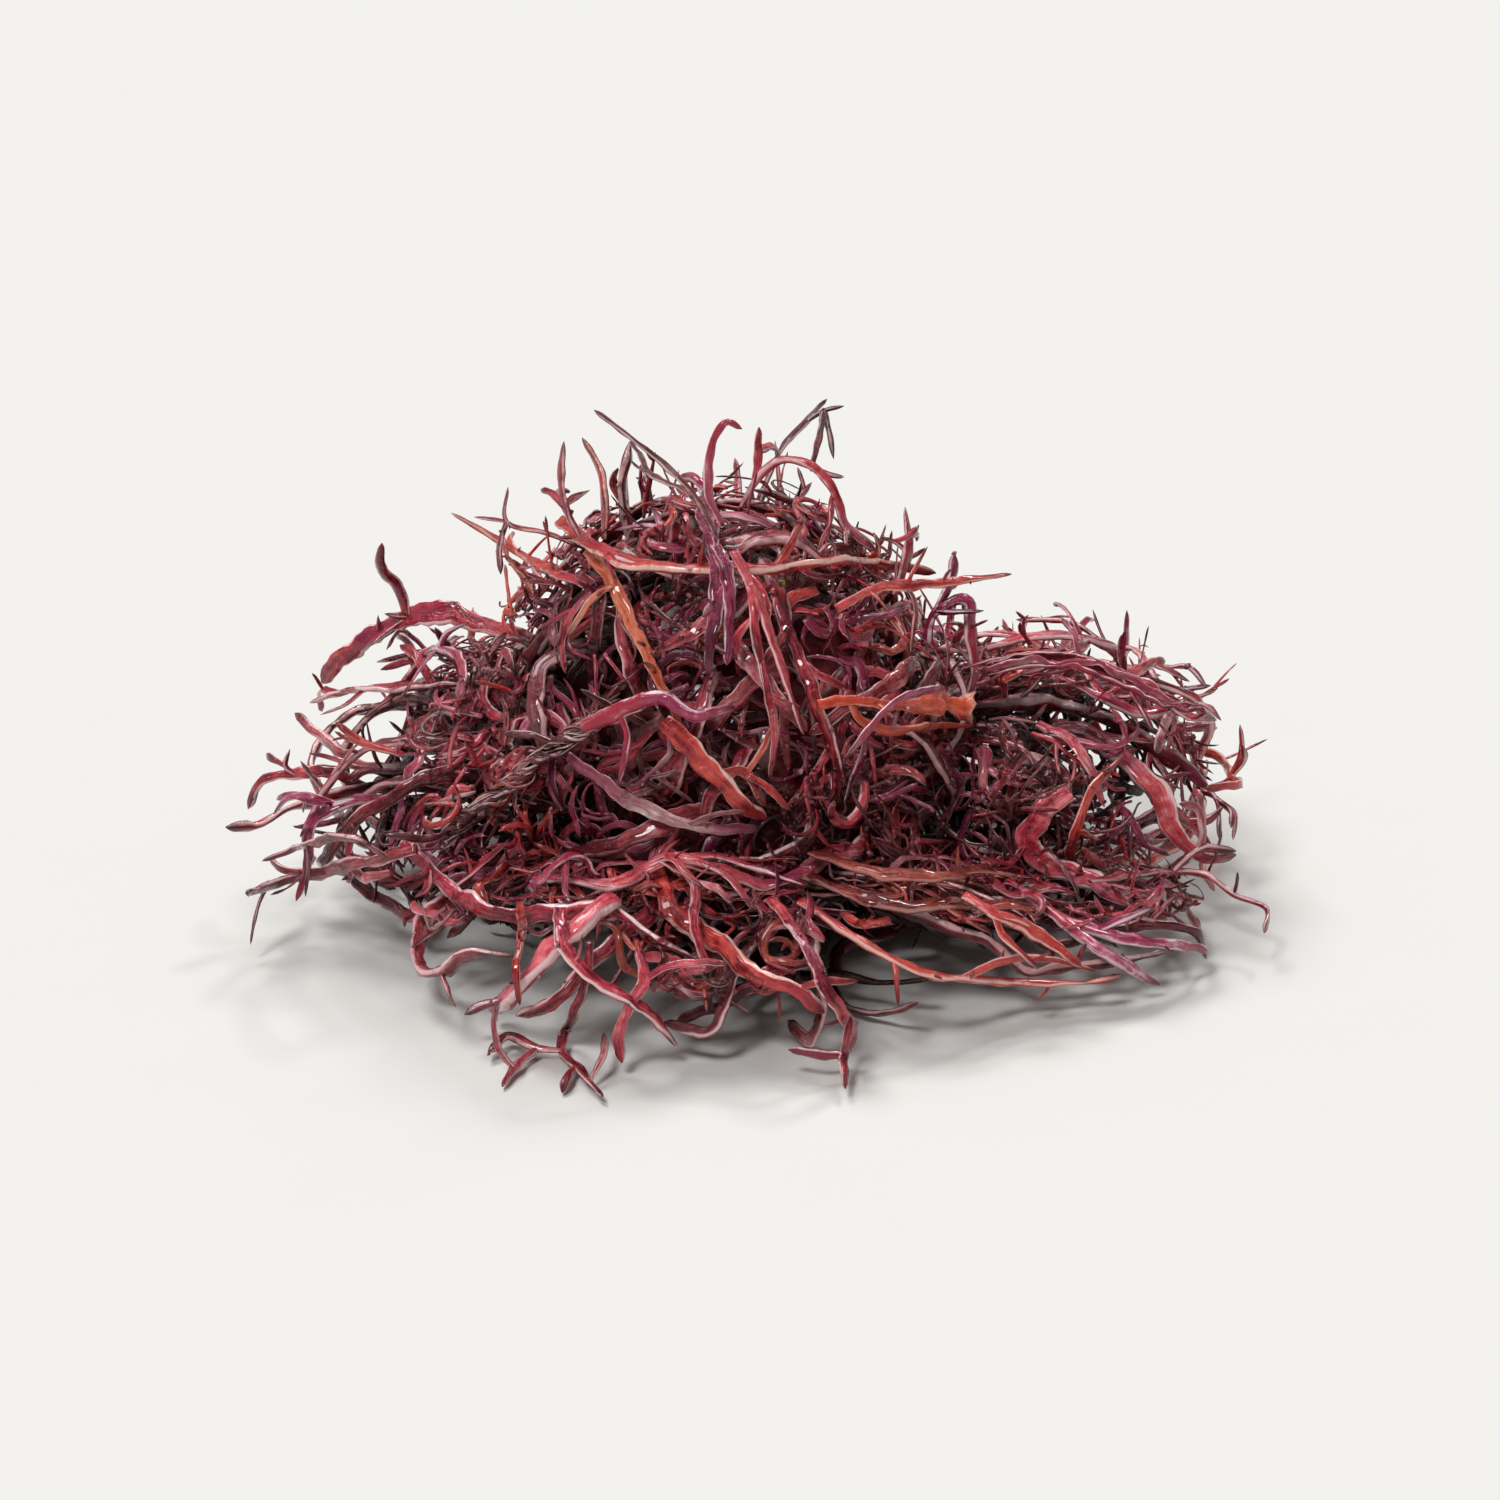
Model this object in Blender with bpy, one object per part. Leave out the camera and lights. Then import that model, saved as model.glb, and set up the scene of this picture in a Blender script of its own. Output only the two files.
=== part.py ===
"""Funori: a handful of dried red seaweed, lying as one tangled heap.

Every frond is a node of its own: forked, tapering axes that swell and narrow, fused where they
branch. The fronds in the middle have dried fast to one another, so they are one node, the matted
heart, which rests on the table. The fronds that show are laid over it along routes as seen from
the front of the heap, and the others grow over its sides, top and back by a seeded rule. Each is
bent clear of those laid before it.

Lengths are in millimetres until a mesh is made, and Blender's objects are in metres. +Z is up, the
front of the heap faces -Y, and the origin is on the flat spot that it rests on.
"""

import math
import random
from dataclasses import dataclass, field

import bmesh
import bpy
from mathutils import Quaternion, Vector, noise
from mathutils.kdtree import KDTree

MM = 0.001
SEED = 28

# How the heap is seen from the front: the routes below are (across, rise) in this view, in
# millimetres at the heap's middle, with rise 0 where the table passes under the middle.
SIGHT_ELEVATION = math.radians(21)
SIGHT_DISTANCE = 600.0
AIM_RISE = 16.5

# The heap's skin: the mounds that it heaps up into, as (centre, half-sizes).
MOUNDS = [
    (Vector((-4, 4, 12)), Vector((25, 24, 31))),
    (Vector((-26, 5, 9)), Vector((19, 23, 15))),
    (Vector((29, 10, 12)), Vector((17, 19, 11))),
    (Vector((-3, -20, 6)), Vector((31, 18, 8))),
    (Vector((30, -12, 4)), Vector((15, 14, 5))),
    (Vector((0, 22, 9)), Vector((32, 20, 15))),
]

# The heart's core, which the heart's own fronds stand out of. It is cut flat at the table.
CORE_CENTRE = Vector((-2, 1, 16.5))
CORE_HALF = Vector((18, 17, 19.5))
CORE_RELIEF = 1.4
CORE_RELIEF_SCALE = 3.2
ROOT_SUNK = 2.8
ROOT_ROOM = 0.5
HEART_TRIES = 5
REACHING_FRONDS = 40
REACHING_WIDTH = (1.7, 2.8)
REACHING_SPREAD = (8, 18)
REACHING_DEPTH = (-5.0, -1.5)
REACHING_SLANT = math.radians(60)
REACHING_LEAN = (0.6, 1.4)
REACHING_FORK_EVERY = 8
REACHING_FORK_SHARE = 0.4
WRAPPING_FRONDS = 56
WRAPPING_WIDTH = (2.0, 3.2)
WRAPPING_LENGTH = (18, 30)
WRAPPING_DEPTH = (2.6, 4.6)
WRAPPING_LOWEST = -0.75

# Places low inside the heap that the last fronds of the heart reach for.
LOW_PLACES = [(-24, -9, 3), (-26, 12, 3), (-16, -22, 3), (-30, -16, 4), (-4, -26, 3), (18, -18, 3)]
LOW_SUNK = 1.5

# How a strand is shaped.
RING_STEP = 3.8
LONG_STEP = 5.0
THINNEST = 0.64
TIP_HALF = 0.16
FLATNESS = 0.5
ROOT_NECK = 0.62
NECK_SHARE = 0.25
TAIL_SHARE = 0.5
TAIL_LOSS = 0.7
BEAD_DEPTH = 0.26
BEAD_TURN = 2.1
MOUTH_FLARE = 0.5
TWIST_PER_RING = math.radians(14)
FACE_KEPT = 0.7
EDGE_ON = 0.05
SLIM = 0.55
THICK = 1.35
SHARP_ANGLE = math.radians(50)

# How a strand grows.
WANDER = math.radians(13)
CURL_PER_RING = math.radians(12)
AVOID_TILTS = [math.radians(tilt) for tilt in (18, 34, 52)]
AVOID_TURNS = 7
SKIN_PULL = 0.65
STEEPEST = 0.85
TARGET_PULL = 0.4
DOWNHILL = 0.12
MOST_PROUD = 4.5
FEWEST_RINGS = 2
SHORTEST_REACHING = 5
SHORTEST_WRAPPING = 4

# How a shown frond's route is followed.
ROUTE_STEPS = 5
REACH_EASING = 6
NEAREST_RING = 1.0
REACH_BLEND = 9.0

# How strands are kept apart.
GAP = 0.4
SAMPLE_STEP = 0.9
PUSH = 0.45
MOST_PUSHES = 70
PUSH_SLOPE = 1.3
TABLE_GAP = 0.12

# Side branches: forks, sized as shares of the axis that they leave, and short spurs.
FORK_ANGLE = (28, 58)
FORK_RISE = 0.35
FORK_DEPTH = 1.0
FORK_WIDTH = 0.72
FORK_LENGTH = (0.3, 0.5)
SPUR_LENGTH = (4.0, 8.5)
SPUR_WIDTH = (1.0, 1.5)
SPUR_STEP = 2.6
SPUR_DEPTH = 4.0

# The fronds that fill the sides, the top and the back.
FILL_FRONDS = 13
FILL_LENGTH = (30, 46)
FILL_WIDTH = (1.7, 2.4)
FILL_FORKS = 3
FILL_SPURS = 2
FILL_FACING = -0.3
FILL_DEPTH = 0.0
SHORTEST_FILL = 5
SPOT_TRIES = 60
SPOT_TOP = 0.97
SPOT_SUNK = 0.5

ROUGHNESS = 0.42
COLOURS = {
    "maroon": (0.150, 0.020, 0.034),
    "wine": (0.165, 0.024, 0.070),
    "brick": (0.300, 0.042, 0.038),
    "rust": (0.420, 0.085, 0.035),
    "amber": (0.560, 0.210, 0.070),
    "umber": (0.045, 0.020, 0.022),
    "dark": (0.060, 0.010, 0.016),
    "taupe": (0.210, 0.110, 0.105),
}
FILL_COLOURS = ["maroon", "wine", "brick", "maroon", "wine", "rust"]


@dataclass(frozen=True)
class Axis:
    """One axis of a shown frond: its width, and its route in the front view.

    A depth lays it that far behind the heap's middle at its two ends, and otherwise it lies on the
    heap's skin. A flared axis opens into a mouth at its end, where the others run out into a tip.
    """

    width: float
    route: list
    depth: tuple | None = None
    flared: bool = False


@dataclass(frozen=True)
class Shown:
    """A frond that shows from the front, with its axes and the number of its spurs.

    The first axis is the main one. Each later axis starts from the nearest ring of those before.
    """

    name: str
    colour: str
    spurs: int
    axes: list


# The shown fronds, in the order in which they are laid over one another.
SHOWN = [
    Shown("taupe_ribbon", "taupe", 1, [
        Axis(2.6, [(-18.2, 15.9), (-13.7, 12.6), (-9.9, 10.3), (-5.1, 8.8), (1.0, 8.6)]),
    ]),
    Shown("amber_strip", "amber", 1, [
        Axis(2.3, [(-16.3, 36.4), (-14.8, 34.8), (-13.4, 32.4), (-11.6, 28.9), (-10.3, 25.6),
                   (-8.3, 22.0), (-6.8, 17.6)]),
    ]),
    Shown("rose_blade", "brick", 2, [
        Axis(3.6, [(-8.6, 19.4), (-5.4, 16.2), (-3.3, 13.6), (-1.0, 11.4), (1.6, 9.6)]),
        Axis(1.6, [(-4.5, 15.0), (-2.2, 15.0), (0.4, 13.4), (1.6, 10.8)]),
    ]),
    Shown("dark_rope", "umber", 4, [
        Axis(2.5, [(-9.8, 21.6), (-15.0, 19.4), (-19.9, 16.6), (-23.2, 13.8), (-27.9, 9.8),
                   (-33.2, 6.0)]),
    ]),
    Shown("grape_band", "wine", 1, [
        Axis(2.4, [(-16.7, 18.7), (-13.0, 20.5), (-9.7, 21.7), (-7.6, 21.1), (-5.2, 20.0),
                   (-1.4, 20.8)]),
    ]),
    Shown("ridge_arm", "brick", 2, [
        Axis(2.5, [(-19.0, 39.4), (-15.1, 36.6), (-10.4, 35.0), (-3.8, 34.6), (1.2, 34.6),
                   (8.9, 35.4), (14.7, 34.9), (18.6, 34.2)]),
    ]),
    Shown("red_arm", "brick", 1, [
        Axis(2.1, [(8.6, 30.6), (12.0, 32.4), (16.0, 33.1), (20.1, 33.3), (23.3, 33.7),
                   (26.2, 34.1)], (-12, -5)),
    ]),
    Shown("centre_bundle", "wine", 2, [
        Axis(2.4, [(-4.5, 43.4), (-4.4, 39.5), (-3.5, 36.0), (-3.5, 31.5), (-3.8, 27.5),
                   (-4.2, 23.8)]),
        Axis(2.2, [(-3.2, 36.0), (-1.9, 32.5), (-2.1, 28.5), (-2.3, 25.0)]),
    ]),
    Shown("long_fall", "maroon", 2, [
        Axis(1.8, [(-1.6, 36.4), (0.2, 32.5), (1.6, 29.3), (2.9, 25.4), (4.1, 21.6),
                   (5.4, 18.0)]),
        Axis(1.4, [(0.4, 32.0), (0.9, 25.8), (2.0, 21.4), (2.4, 17.5), (2.0, 13.5)]),
    ]),
    Shown("purple_ribbon", "wine", 2, [
        Axis(2.2, [(2.4, 32.4), (4.6, 26.4), (6.2, 22.4), (7.4, 19.2), (8.7, 15.6),
                   (8.8, 11.6)]),
    ]),
    Shown("trumpet", "rust", 0, [
        Axis(3.2, [(6.8, 21.0), (10.5, 21.5), (14.6, 20.9), (18.4, 21.2), (22.3, 20.8)],
             flared=True),
        Axis(2.2, [(9.4, 20.4), (13.4, 18.5), (17.8, 18.9), (22.4, 18.9)]),
    ]),
    Shown("cross_strand", "wine", 1, [
        Axis(1.3, [(19.4, 22.6), (16.4, 22.2), (13.6, 20.6), (11.4, 18.0), (9.4, 15.4)]),
    ]),
    Shown("magenta_knot", "wine", 1, [
        Axis(2.1, [(17.6, 27.0), (18.7, 30.6), (21.6, 31.4), (22.3, 28.6), (21.4, 26.4),
                   (22.8, 23.8), (21.6, 21.2)], (4, 0)),
        Axis(1.6, [(19.0, 31.0), (20.1, 33.6), (20.4, 36.2)], (3, 5)),
    ]),
    Shown("left_horn", "brick", 1, [
        Axis(1.9, [(-16.4, 33.0), (-19.6, 34.3), (-23.1, 36.1), (-26.3, 38.2), (-29.9, 40.2)]),
    ]),
    Shown("loop_strand", "maroon", 1, [
        Axis(1.3, [(-16.4, 36.6), (-20.3, 38.2), (-23.8, 39.0), (-25.0, 40.6),
                   (-24.2, 42.8)], (4, 2)),
        Axis(0.9, [(-24.4, 39.4), (-27.6, 39.8)], (3, 4)),
    ]),
    Shown("left_spike", "maroon", 1, [
        Axis(1.7, [(-17.2, 38.0), (-18.6, 41.0), (-18.9, 43.9), (-18.6, 47.4)], (6, 3)),
        Axis(1.4, [(-18.7, 41.6), (-20.9, 42.6)], (5, 8)),
        Axis(1.2, [(-18.6, 41.2), (-16.0, 42.5)], (5, 1)),
    ]),
    Shown("curved_finger", "brick", 0, [
        Axis(1.7, [(-14.6, 37.6), (-14.5, 41.0), (-14.8, 43.6), (-15.4, 45.6),
                   (-16.8, 47.7)], (5, 9)),
    ]),
    Shown("cone_blade", "maroon", 1, [
        Axis(3.4, [(-12.0, 37.6), (-12.6, 40.8), (-12.7, 43.6), (-12.0, 47.4)], (9, 12)),
    ]),
    Shown("crown_wires", "umber", 1, [
        Axis(0.9, [(-3.4, 38.0), (-5.6, 42.0), (-8.8, 45.3), (-12.3, 48.0), (-15.6, 50.5)], (5, -2)),
        Axis(0.8, [(-5.8, 42.2), (-9.8, 44.0), (-11.2, 46.4), (-12.0, 47.4)], (2, 6)),
    ]),
    Shown("crown_curl", "wine", 2, [
        Axis(1.3, [(-2.8, 39.0), (-4.3, 43.0), (-3.9, 46.6), (-2.5, 49.3), (-1.0, 50.3),
                   (-0.8, 48.6)], (6, 4)),
    ]),
    Shown("crown_fork", "umber", 2, [
        Axis(1.1, [(0.6, 40.6), (2.6, 45.6), (4.4, 48.2), (6.2, 50.0), (7.7, 51.6)], (8, 13)),
        Axis(0.8, [(6.4, 50.2), (9.4, 50.9)], (12, 9)),
    ]),
    Shown("crown_spray", "maroon", 3, [
        Axis(1.8, [(-1.0, 40.6), (1.4, 44.6), (4.2, 45.6), (6.8, 44.4), (8.6, 42.0),
                   (9.6, 39.0), (12.6, 36.4)], (6, 0)),
        Axis(1.6, [(5.6, 44.6), (9.4, 43.8)], (3, 8)),
        Axis(1.5, [(0.6, 43.6), (0.9, 48.8)], (6, 2)),
    ]),
    Shown("right_spike", "maroon", 1, [
        Axis(1.6, [(14.4, 32.0), (15.6, 35.4), (15.8, 38.0), (15.5, 40.8)], (5, 8)),
        Axis(1.2, [(15.7, 37.0), (13.0, 37.7)], (6, 2)),
        Axis(1.0, [(15.7, 37.6), (16.9, 39.0)], (6, 10)),
    ]),
    Shown("right_ridge", "brick", 2, [
        Axis(3.6, [(21.0, 24.0), (27.6, 25.6), (34.0, 25.0), (39.4, 22.8), (43.2, 20.8),
                   (46.4, 21.0)], (20, 9)),
        Axis(1.8, [(37.4, 23.4), (39.0, 24.6), (41.4, 25.6)], (13, 18)),
        Axis(1.5, [(41.0, 21.6), (44.0, 19.8), (46.6, 19.6)], (10, 14)),
    ]),
    Shown("right_middle", "maroon", 3, [
        Axis(3.4, [(19.6, 20.4), (26.4, 21.4), (33.0, 20.6), (38.8, 18.0), (43.2, 14.8),
                   (46.0, 12.6)], (13, 3)),
        Axis(1.1, [(45.0, 13.4), (47.2, 10.6), (47.0, 7.4)], (4, 1)),
    ]),
    Shown("right_curtain", "maroon", 4, [
        Axis(3.2, [(30.6, 19.0), (35.6, 17.0), (39.4, 13.6), (42.4, 9.6), (43.6, 6.2),
                   (48.6, 6.0)], (9, 1)),
        Axis(1.8, [(42.0, 10.0), (45.6, 8.6)], (4, 8)),
    ]),
    Shown("crimson_leaf", "wine", 1, [
        Axis(3.7, [(32.0, 12.2), (29.8, 10.8), (27.8, 8.8), (28.0, 6.4), (31.4, 4.4),
                   (35.0, 3.0), (38.0, 1.0)]),
    ]),
    Shown("rust_fingers", "rust", 2, [
        Axis(3.0, [(5.4, 4.0), (10.7, 1.9), (15.2, 0.9), (20.3, 1.1), (27.6, 1.0)]),
        Axis(1.8, [(18.0, 1.0), (21.0, -0.2), (24.2, -1.8)]),
    ]),
    Shown("upper_finger", "rust", 1, [
        Axis(2.7, [(6.0, 6.2), (12.0, 4.4), (16.2, 3.9), (20.3, 4.0), (24.0, 4.8)]),
    ]),
    Shown("rust_tail", "brick", 2, [
        Axis(2.0, [(21.4, 2.0), (25.4, -0.4), (28.8, -1.8), (31.0, -3.4), (33.2, -5.2)]),
    ]),
    Shown("ground_loop", "brick", 0, [
        Axis(1.9, [(5.0, 1.4), (8.6, -1.0), (13.0, -3.7), (17.4, -5.8), (23.0, -6.5),
                   (28.0, -6.7), (33.0, -6.8), (37.4, -6.0)]),
        Axis(1.2, [(21.0, -6.0), (25.4, -4.6), (30.0, -4.4), (34.6, -5.6)]),
    ]),
    Shown("plum_toe", "wine", 1, [
        Axis(2.0, [(26.6, 2.6), (31.0, -0.2), (33.8, -2.8), (37.2, -4.8), (41.0, -7.0)]),
        Axis(1.9, [(31.6, -0.4), (34.6, -1.6), (38.6, -2.6), (42.0, -2.8), (45.8, -3.6)]),
    ]),
    Shown("hooked_tip", "umber", 1, [
        Axis(1.5, [(34.0, 3.4), (40.0, 4.2), (44.6, 4.4), (47.6, 2.4), (50.4, 1.2),
                   (52.0, 0.2), (51.4, -1.8)]),
        Axis(1.9, [(41.0, 4.2), (45.6, 6.8), (48.6, 6.4)]),
    ]),
    Shown("front_cord", "brick", 2, [
        Axis(2.5, [(-34.6, 7.4), (-31.3, 3.8), (-28.1, 1.3), (-24.2, 0.0), (-19.5, 0.2),
                   (-14.7, 0.8), (-12.1, -0.5), (-8.9, -2.7), (-5.8, -4.2)]),
    ]),
    Shown("front_flare", "brick", 2, [
        Axis(3.0, [(-9.6, 4.6), (-8.2, 1.4), (-6.2, -1.0), (-2.6, -3.0), (0.6, -6.2),
                   (4.5, -7.4), (7.4, -9.8)]),
    ]),
    Shown("front_leg", "maroon", 2, [
        Axis(1.9, [(2.0, 1.6), (4.6, -1.6), (6.0, -4.0), (7.6, -7.4), (9.6, -10.2),
                   (10.3, -12.0), (9.4, -14.4), (9.5, -17.4)]),
    ]),
    Shown("red_bud", "brick", 1, [
        Axis(3.2, [(-13.6, 1.6), (-17.0, -1.0), (-20.2, -3.8), (-22.7, -6.8), (-25.7, -9.6)]),
    ]),
    Shown("orange_slip", "rust", 0, [
        Axis(1.4, [(-23.0, 1.2), (-22.8, -1.8), (-23.4, -5.2), (-23.0, -9.0)]),
    ]),
    Shown("pink_leg", "brick", 1, [
        Axis(2.2, [(-19.0, 0.6), (-18.6, -3.0), (-16.4, -6.0), (-12.8, -7.9), (-10.0, -9.9),
                   (-7.2, -13.2)]),
        Axis(1.8, [(-10.6, -9.2), (-12.4, -10.6), (-13.6, -12.6), (-12.8, -14.8)]),
        Axis(2.0, [(-10.8, -9.2), (-10.4, -6.6), (-11.4, -3.4)]),
    ]),
    Shown("front_sprig", "umber", 1, [
        Axis(1.5, [(-16.0, -2.6), (-16.6, -7.6), (-18.2, -10.9), (-19.0, -13.2),
                   (-17.6, -14.9), (-16.4, -16.2), (-14.7, -18.2)]),
        Axis(1.8, [(-18.8, -12.6), (-21.9, -13.3), (-24.2, -12.0), (-26.2, -13.9)]),
        Axis(1.3, [(-22.4, -13.2), (-23.4, -15.0), (-24.8, -17.2)]),
        Axis(1.3, [(-16.6, -16.0), (-14.9, -14.6), (-14.6, -11.8)]),
        Axis(1.2, [(-18.0, -14.6), (-18.8, -17.8)]),
    ]),
    Shown("left_claw", "maroon", 2, [
        Axis(2.3, [(-31.0, 12.4), (-36.0, 13.0), (-40.7, 12.2), (-46.1, 10.7), (-50.2, 8.6),
                   (-52.4, 8.8)], (6, -5)),
        Axis(1.9, [(-37.0, 13.0), (-41.4, 14.2), (-46.4, 14.0), (-49.0, 13.4),
                   (-50.2, 10.6)], (3, 6)),
        Axis(1.2, [(-46.8, 13.8), (-46.0, 16.6)], (2, 6)),
    ]),
    Shown("left_foot", "wine", 2, [
        Axis(2.1, [(-34.0, 11.6), (-39.0, 11.4), (-43.6, 10.0), (-43.9, 6.2),
                   (-45.4, 1.4)], (0, -9)),
    ]),
    Shown("left_toe", "umber", 1, [
        Axis(2.0, [(-33.4, 6.6), (-38.8, 5.2), (-44.0, 4.0), (-50.4, 2.2)]),
        Axis(1.6, [(-36.0, 6.0), (-40.0, 7.8), (-44.4, 7.0), (-48.8, 5.4)]),
    ]),
    Shown("left_back_blade", "wine", 2, [
        Axis(3.8, [(-21.5, 27.2), (-28.2, 29.6), (-33.0, 30.2), (-36.6, 28.4), (-40.2, 26.4),
                   (-42.8, 23.2)], (9, 21)),
        Axis(2.4, [(-34.4, 30.0), (-34.9, 32.6), (-36.8, 34.0), (-36.8, 37.2)], (17, 11)),
    ]),
    Shown("left_back_prongs", "maroon", 1, [
        Axis(3.0, [(-28.6, 23.2), (-34.0, 22.8), (-39.6, 22.6), (-44.0, 21.2)], (8, 18)),
        Axis(1.5, [(-37.0, 22.6), (-40.6, 21.0), (-43.0, 20.0)], (15, 12)),
        Axis(1.5, [(-32.0, 22.8), (-33.6, 26.4), (-35.0, 27.0)], (12, 17)),
    ]),
    Shown("left_back_tip", "umber", 2, [
        Axis(1.9, [(-33.0, 15.0), (-38.0, 14.6), (-41.2, 16.4), (-43.0, 18.0),
                   (-45.5, 20.2)], (4, 13)),
    ]),
]


def scaled(offset, half):
    """An offset as shares of the half-sizes of an ellipsoid."""
    return Vector((offset.x / half.x, offset.y / half.y, offset.z / half.z))


def ellipsoid_gap(place, centre, half):
    """How far a place is outside an ellipsoid, in line with its centre, and negative inside it."""
    offset = place - centre
    return offset.length * (1 - 1 / max(1e-3, scaled(offset, half).length))


def skin_gap(place, mounds=MOUNDS):
    """How far a place is outside the skin of some mounds, negative inside it."""
    return min(ellipsoid_gap(place, centre, half) for centre, half in mounds)


def outward(place, mounds=MOUNDS):
    """The way out at a place, square to the skin of the nearest of some mounds."""
    centre, half = min(mounds, key=lambda mound: ellipsoid_gap(place, *mound))
    return scaled(scaled(place - centre, half), half).normalized()


class FrontView:
    """The view from the front that the routes are drawn in."""

    rising = Vector((0, math.sin(SIGHT_ELEVATION), math.cos(SIGHT_ELEVATION)))
    away = Vector((0, math.cos(SIGHT_ELEVATION), -math.sin(SIGHT_ELEVATION)))
    aim = Vector((0, 0, AIM_RISE / math.cos(SIGHT_ELEVATION)))
    eye = aim - away * SIGHT_DISTANCE

    def way(self, sight):
        """The way that the eye looks towards (across, rise)."""
        target = self.aim + Vector((sight.x, 0, 0)) + self.rising * (sight.y - AIM_RISE)
        return (target - self.eye).normalized()

    def place(self, sight):
        """The place that the eye sees at (across, rise, reach)."""
        return self.eye + self.way(sight) * sight.z

    def sight(self, place):
        """Where the eye sees a place, as (across, rise, reach)."""
        offset = place - self.eye
        scale = SIGHT_DISTANCE / offset.dot(self.away)
        rise = offset.dot(self.rising) * scale + AIM_RISE
        return Vector((offset.x * scale, rise, offset.length))

    def reach(self, sight, depth, lowest):
        """How far away a point of a route is: on the skin or at a depth, and above the table."""
        way = self.way(sight)
        to_table = (lowest - self.eye.z) / way.z
        if depth == math.inf:
            return to_table
        if depth is not None:
            return min((depth - self.eye.y) / way.y, to_table)
        hits = []
        misses = []
        for centre, half in MOUNDS:
            start = scaled(self.eye - centre, half)
            step = scaled(way, half)
            nearest = -start.dot(step) / step.dot(step)
            miss = (start + step * nearest).length
            misses.append(((miss - 1) * min(half), nearest))
            if miss < 1:
                hits.append(nearest - math.sqrt((1 - miss * miss) / step.dot(step)))
        return min(min(hits) if hits else min(misses)[1], to_table)


VIEW = FrontView()


@dataclass
class Ring:
    """One cross-section of a strand: its middle, its wide and flat ways, and its half-sizes."""

    middle: Vector
    side: Vector
    face: Vector
    width: float
    thickness: float


@dataclass
class Strand:
    """One axis as it is laid: its rings, and its tip or, where it opens into a mouth, None."""

    rings: list
    tip: Vector | None

    def ends(self):
        """Each stretch of the strand, as the rings at its two ends."""
        rings = list(self.rings)
        if self.tip:
            last = rings[-1]
            rings.append(Ring(self.tip, last.side, last.face, TIP_HALF, TIP_HALF))
        return list(zip(rings, rings[1:]))

    def balls(self):
        """Balls that cover the strand, three across its width, as (middle, radius) by stretch."""
        return [balls_between(start, end) for start, end in self.ends()]


@dataclass
class Frond:
    """A frond as it is laid, with the colour of its node."""

    name: str
    colour: str
    strands: list = field(default_factory=list)


def balls_between(start, end):
    """Balls that cover a stretch of a strand, three across its width, as (middle, radius)."""
    steps = max(1, math.ceil((end.middle - start.middle).length / SAMPLE_STEP))
    balls = []
    for step in range(steps + 1):
        share = step / steps
        middle = start.middle.lerp(end.middle, share)
        side = start.side.lerp(end.side, share)
        radius = start.thickness + (end.thickness - start.thickness) * share
        reach = max(0.0, start.width + (end.width - start.width) * share - radius)
        balls += [(middle + side * (reach * across), radius) for across in (-1, 0, 1)]
    return balls


class Room:
    """The space that is taken: the strands laid so far, and the heart's core."""

    def __init__(self):
        self.balls = []
        self.tree = KDTree(0)
        self.tree.balance()
        self.largest = 0.0

    def take(self, strand):
        """Takes the space of a strand."""
        self.balls += [ball for stretch in strand.balls() for ball in stretch]
        self.largest = max(radius for _, radius in self.balls)
        self.tree = KDTree(len(self.balls))
        for number, (middle, _) in enumerate(self.balls):
            self.tree.insert(middle, number)
        self.tree.balance()

    def clear(self, balls, root=None, root_reach=0.0):
        """Whether balls are above the table and clear of what is taken, but for those by a root."""
        for middle, radius in balls:
            if middle.z < radius + TABLE_GAP:
                return False
            if root and (middle - root).length < root_reach:
                continue
            if ellipsoid_gap(middle, CORE_CENTRE, CORE_HALF) < CORE_RELIEF + radius + GAP:
                return False
            for _, number, distance in self.tree.find_range(middle, radius + self.largest + GAP):
                if distance < radius + self.balls[number][1] + GAP:
                    return False
        return True

    def openness(self, place):
        """How far a place is from what is taken."""
        return self.tree.find(place)[2] if self.balls else math.inf


def half_widths(count, width, phase, flared=False):
    """The half-widths of a strand's rings: a neck, swollen beads, and a tail or a mouth."""
    halves = []
    for number in range(count):
        share = number / count
        neck = ROOT_NECK + (1 - ROOT_NECK) * min(1.0, share / NECK_SHARE)
        late = max(0.0, share - TAIL_SHARE) / (1 - TAIL_SHARE)
        end = 1 + MOUTH_FLARE * late if flared else 1 - TAIL_LOSS * late
        bead = 1 - BEAD_DEPTH * (0.5 - 0.5 * math.cos(phase + number * BEAD_TURN))
        halves.append(max(THINNEST, width * neck * end * bead) / 2)
    return halves


def framed(points, halves, twist):
    """The strand along points, with its flat side to the heap's outside where it starts.

    The last point is its tip if there are more points than half-widths, and else it has a mouth.
    """
    rings = []
    before = (points[1] - points[0]).normalized()
    face = outward(points[0])
    for number, half in enumerate(halves):
        ahead = points[min(number + 1, len(points) - 1)]
        along = (ahead - points[max(0, number - 1)]).normalized()
        face = before.rotation_difference(along) @ face
        out = outward(points[number])
        face = face.lerp(out if out.dot(face) > 0 else -out, 1 - FACE_KEPT)
        face = face - along * face.dot(along)
        if face.length < EDGE_ON:
            face = along.orthogonal()
        face = face.normalized()
        before = along
        turned = Quaternion(along, twist * number) @ face
        thickness = max(half * FLATNESS, THINNEST / 2)
        rings.append(Ring(points[number].copy(), turned.cross(along), turned, half, thickness))
    return Strand(rings, points[-1].copy() if len(points) > len(halves) else None)


def smoothed(values, times):
    """Values along a route, each eased towards its neighbours a number of times."""
    for _ in range(times):
        inner = [
            (before + 2 * value + after) / 4
            for before, value, after in zip(values, values[1:], values[2:])
        ]
        values = [values[0], *inner, values[-1]]
    return values


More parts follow.
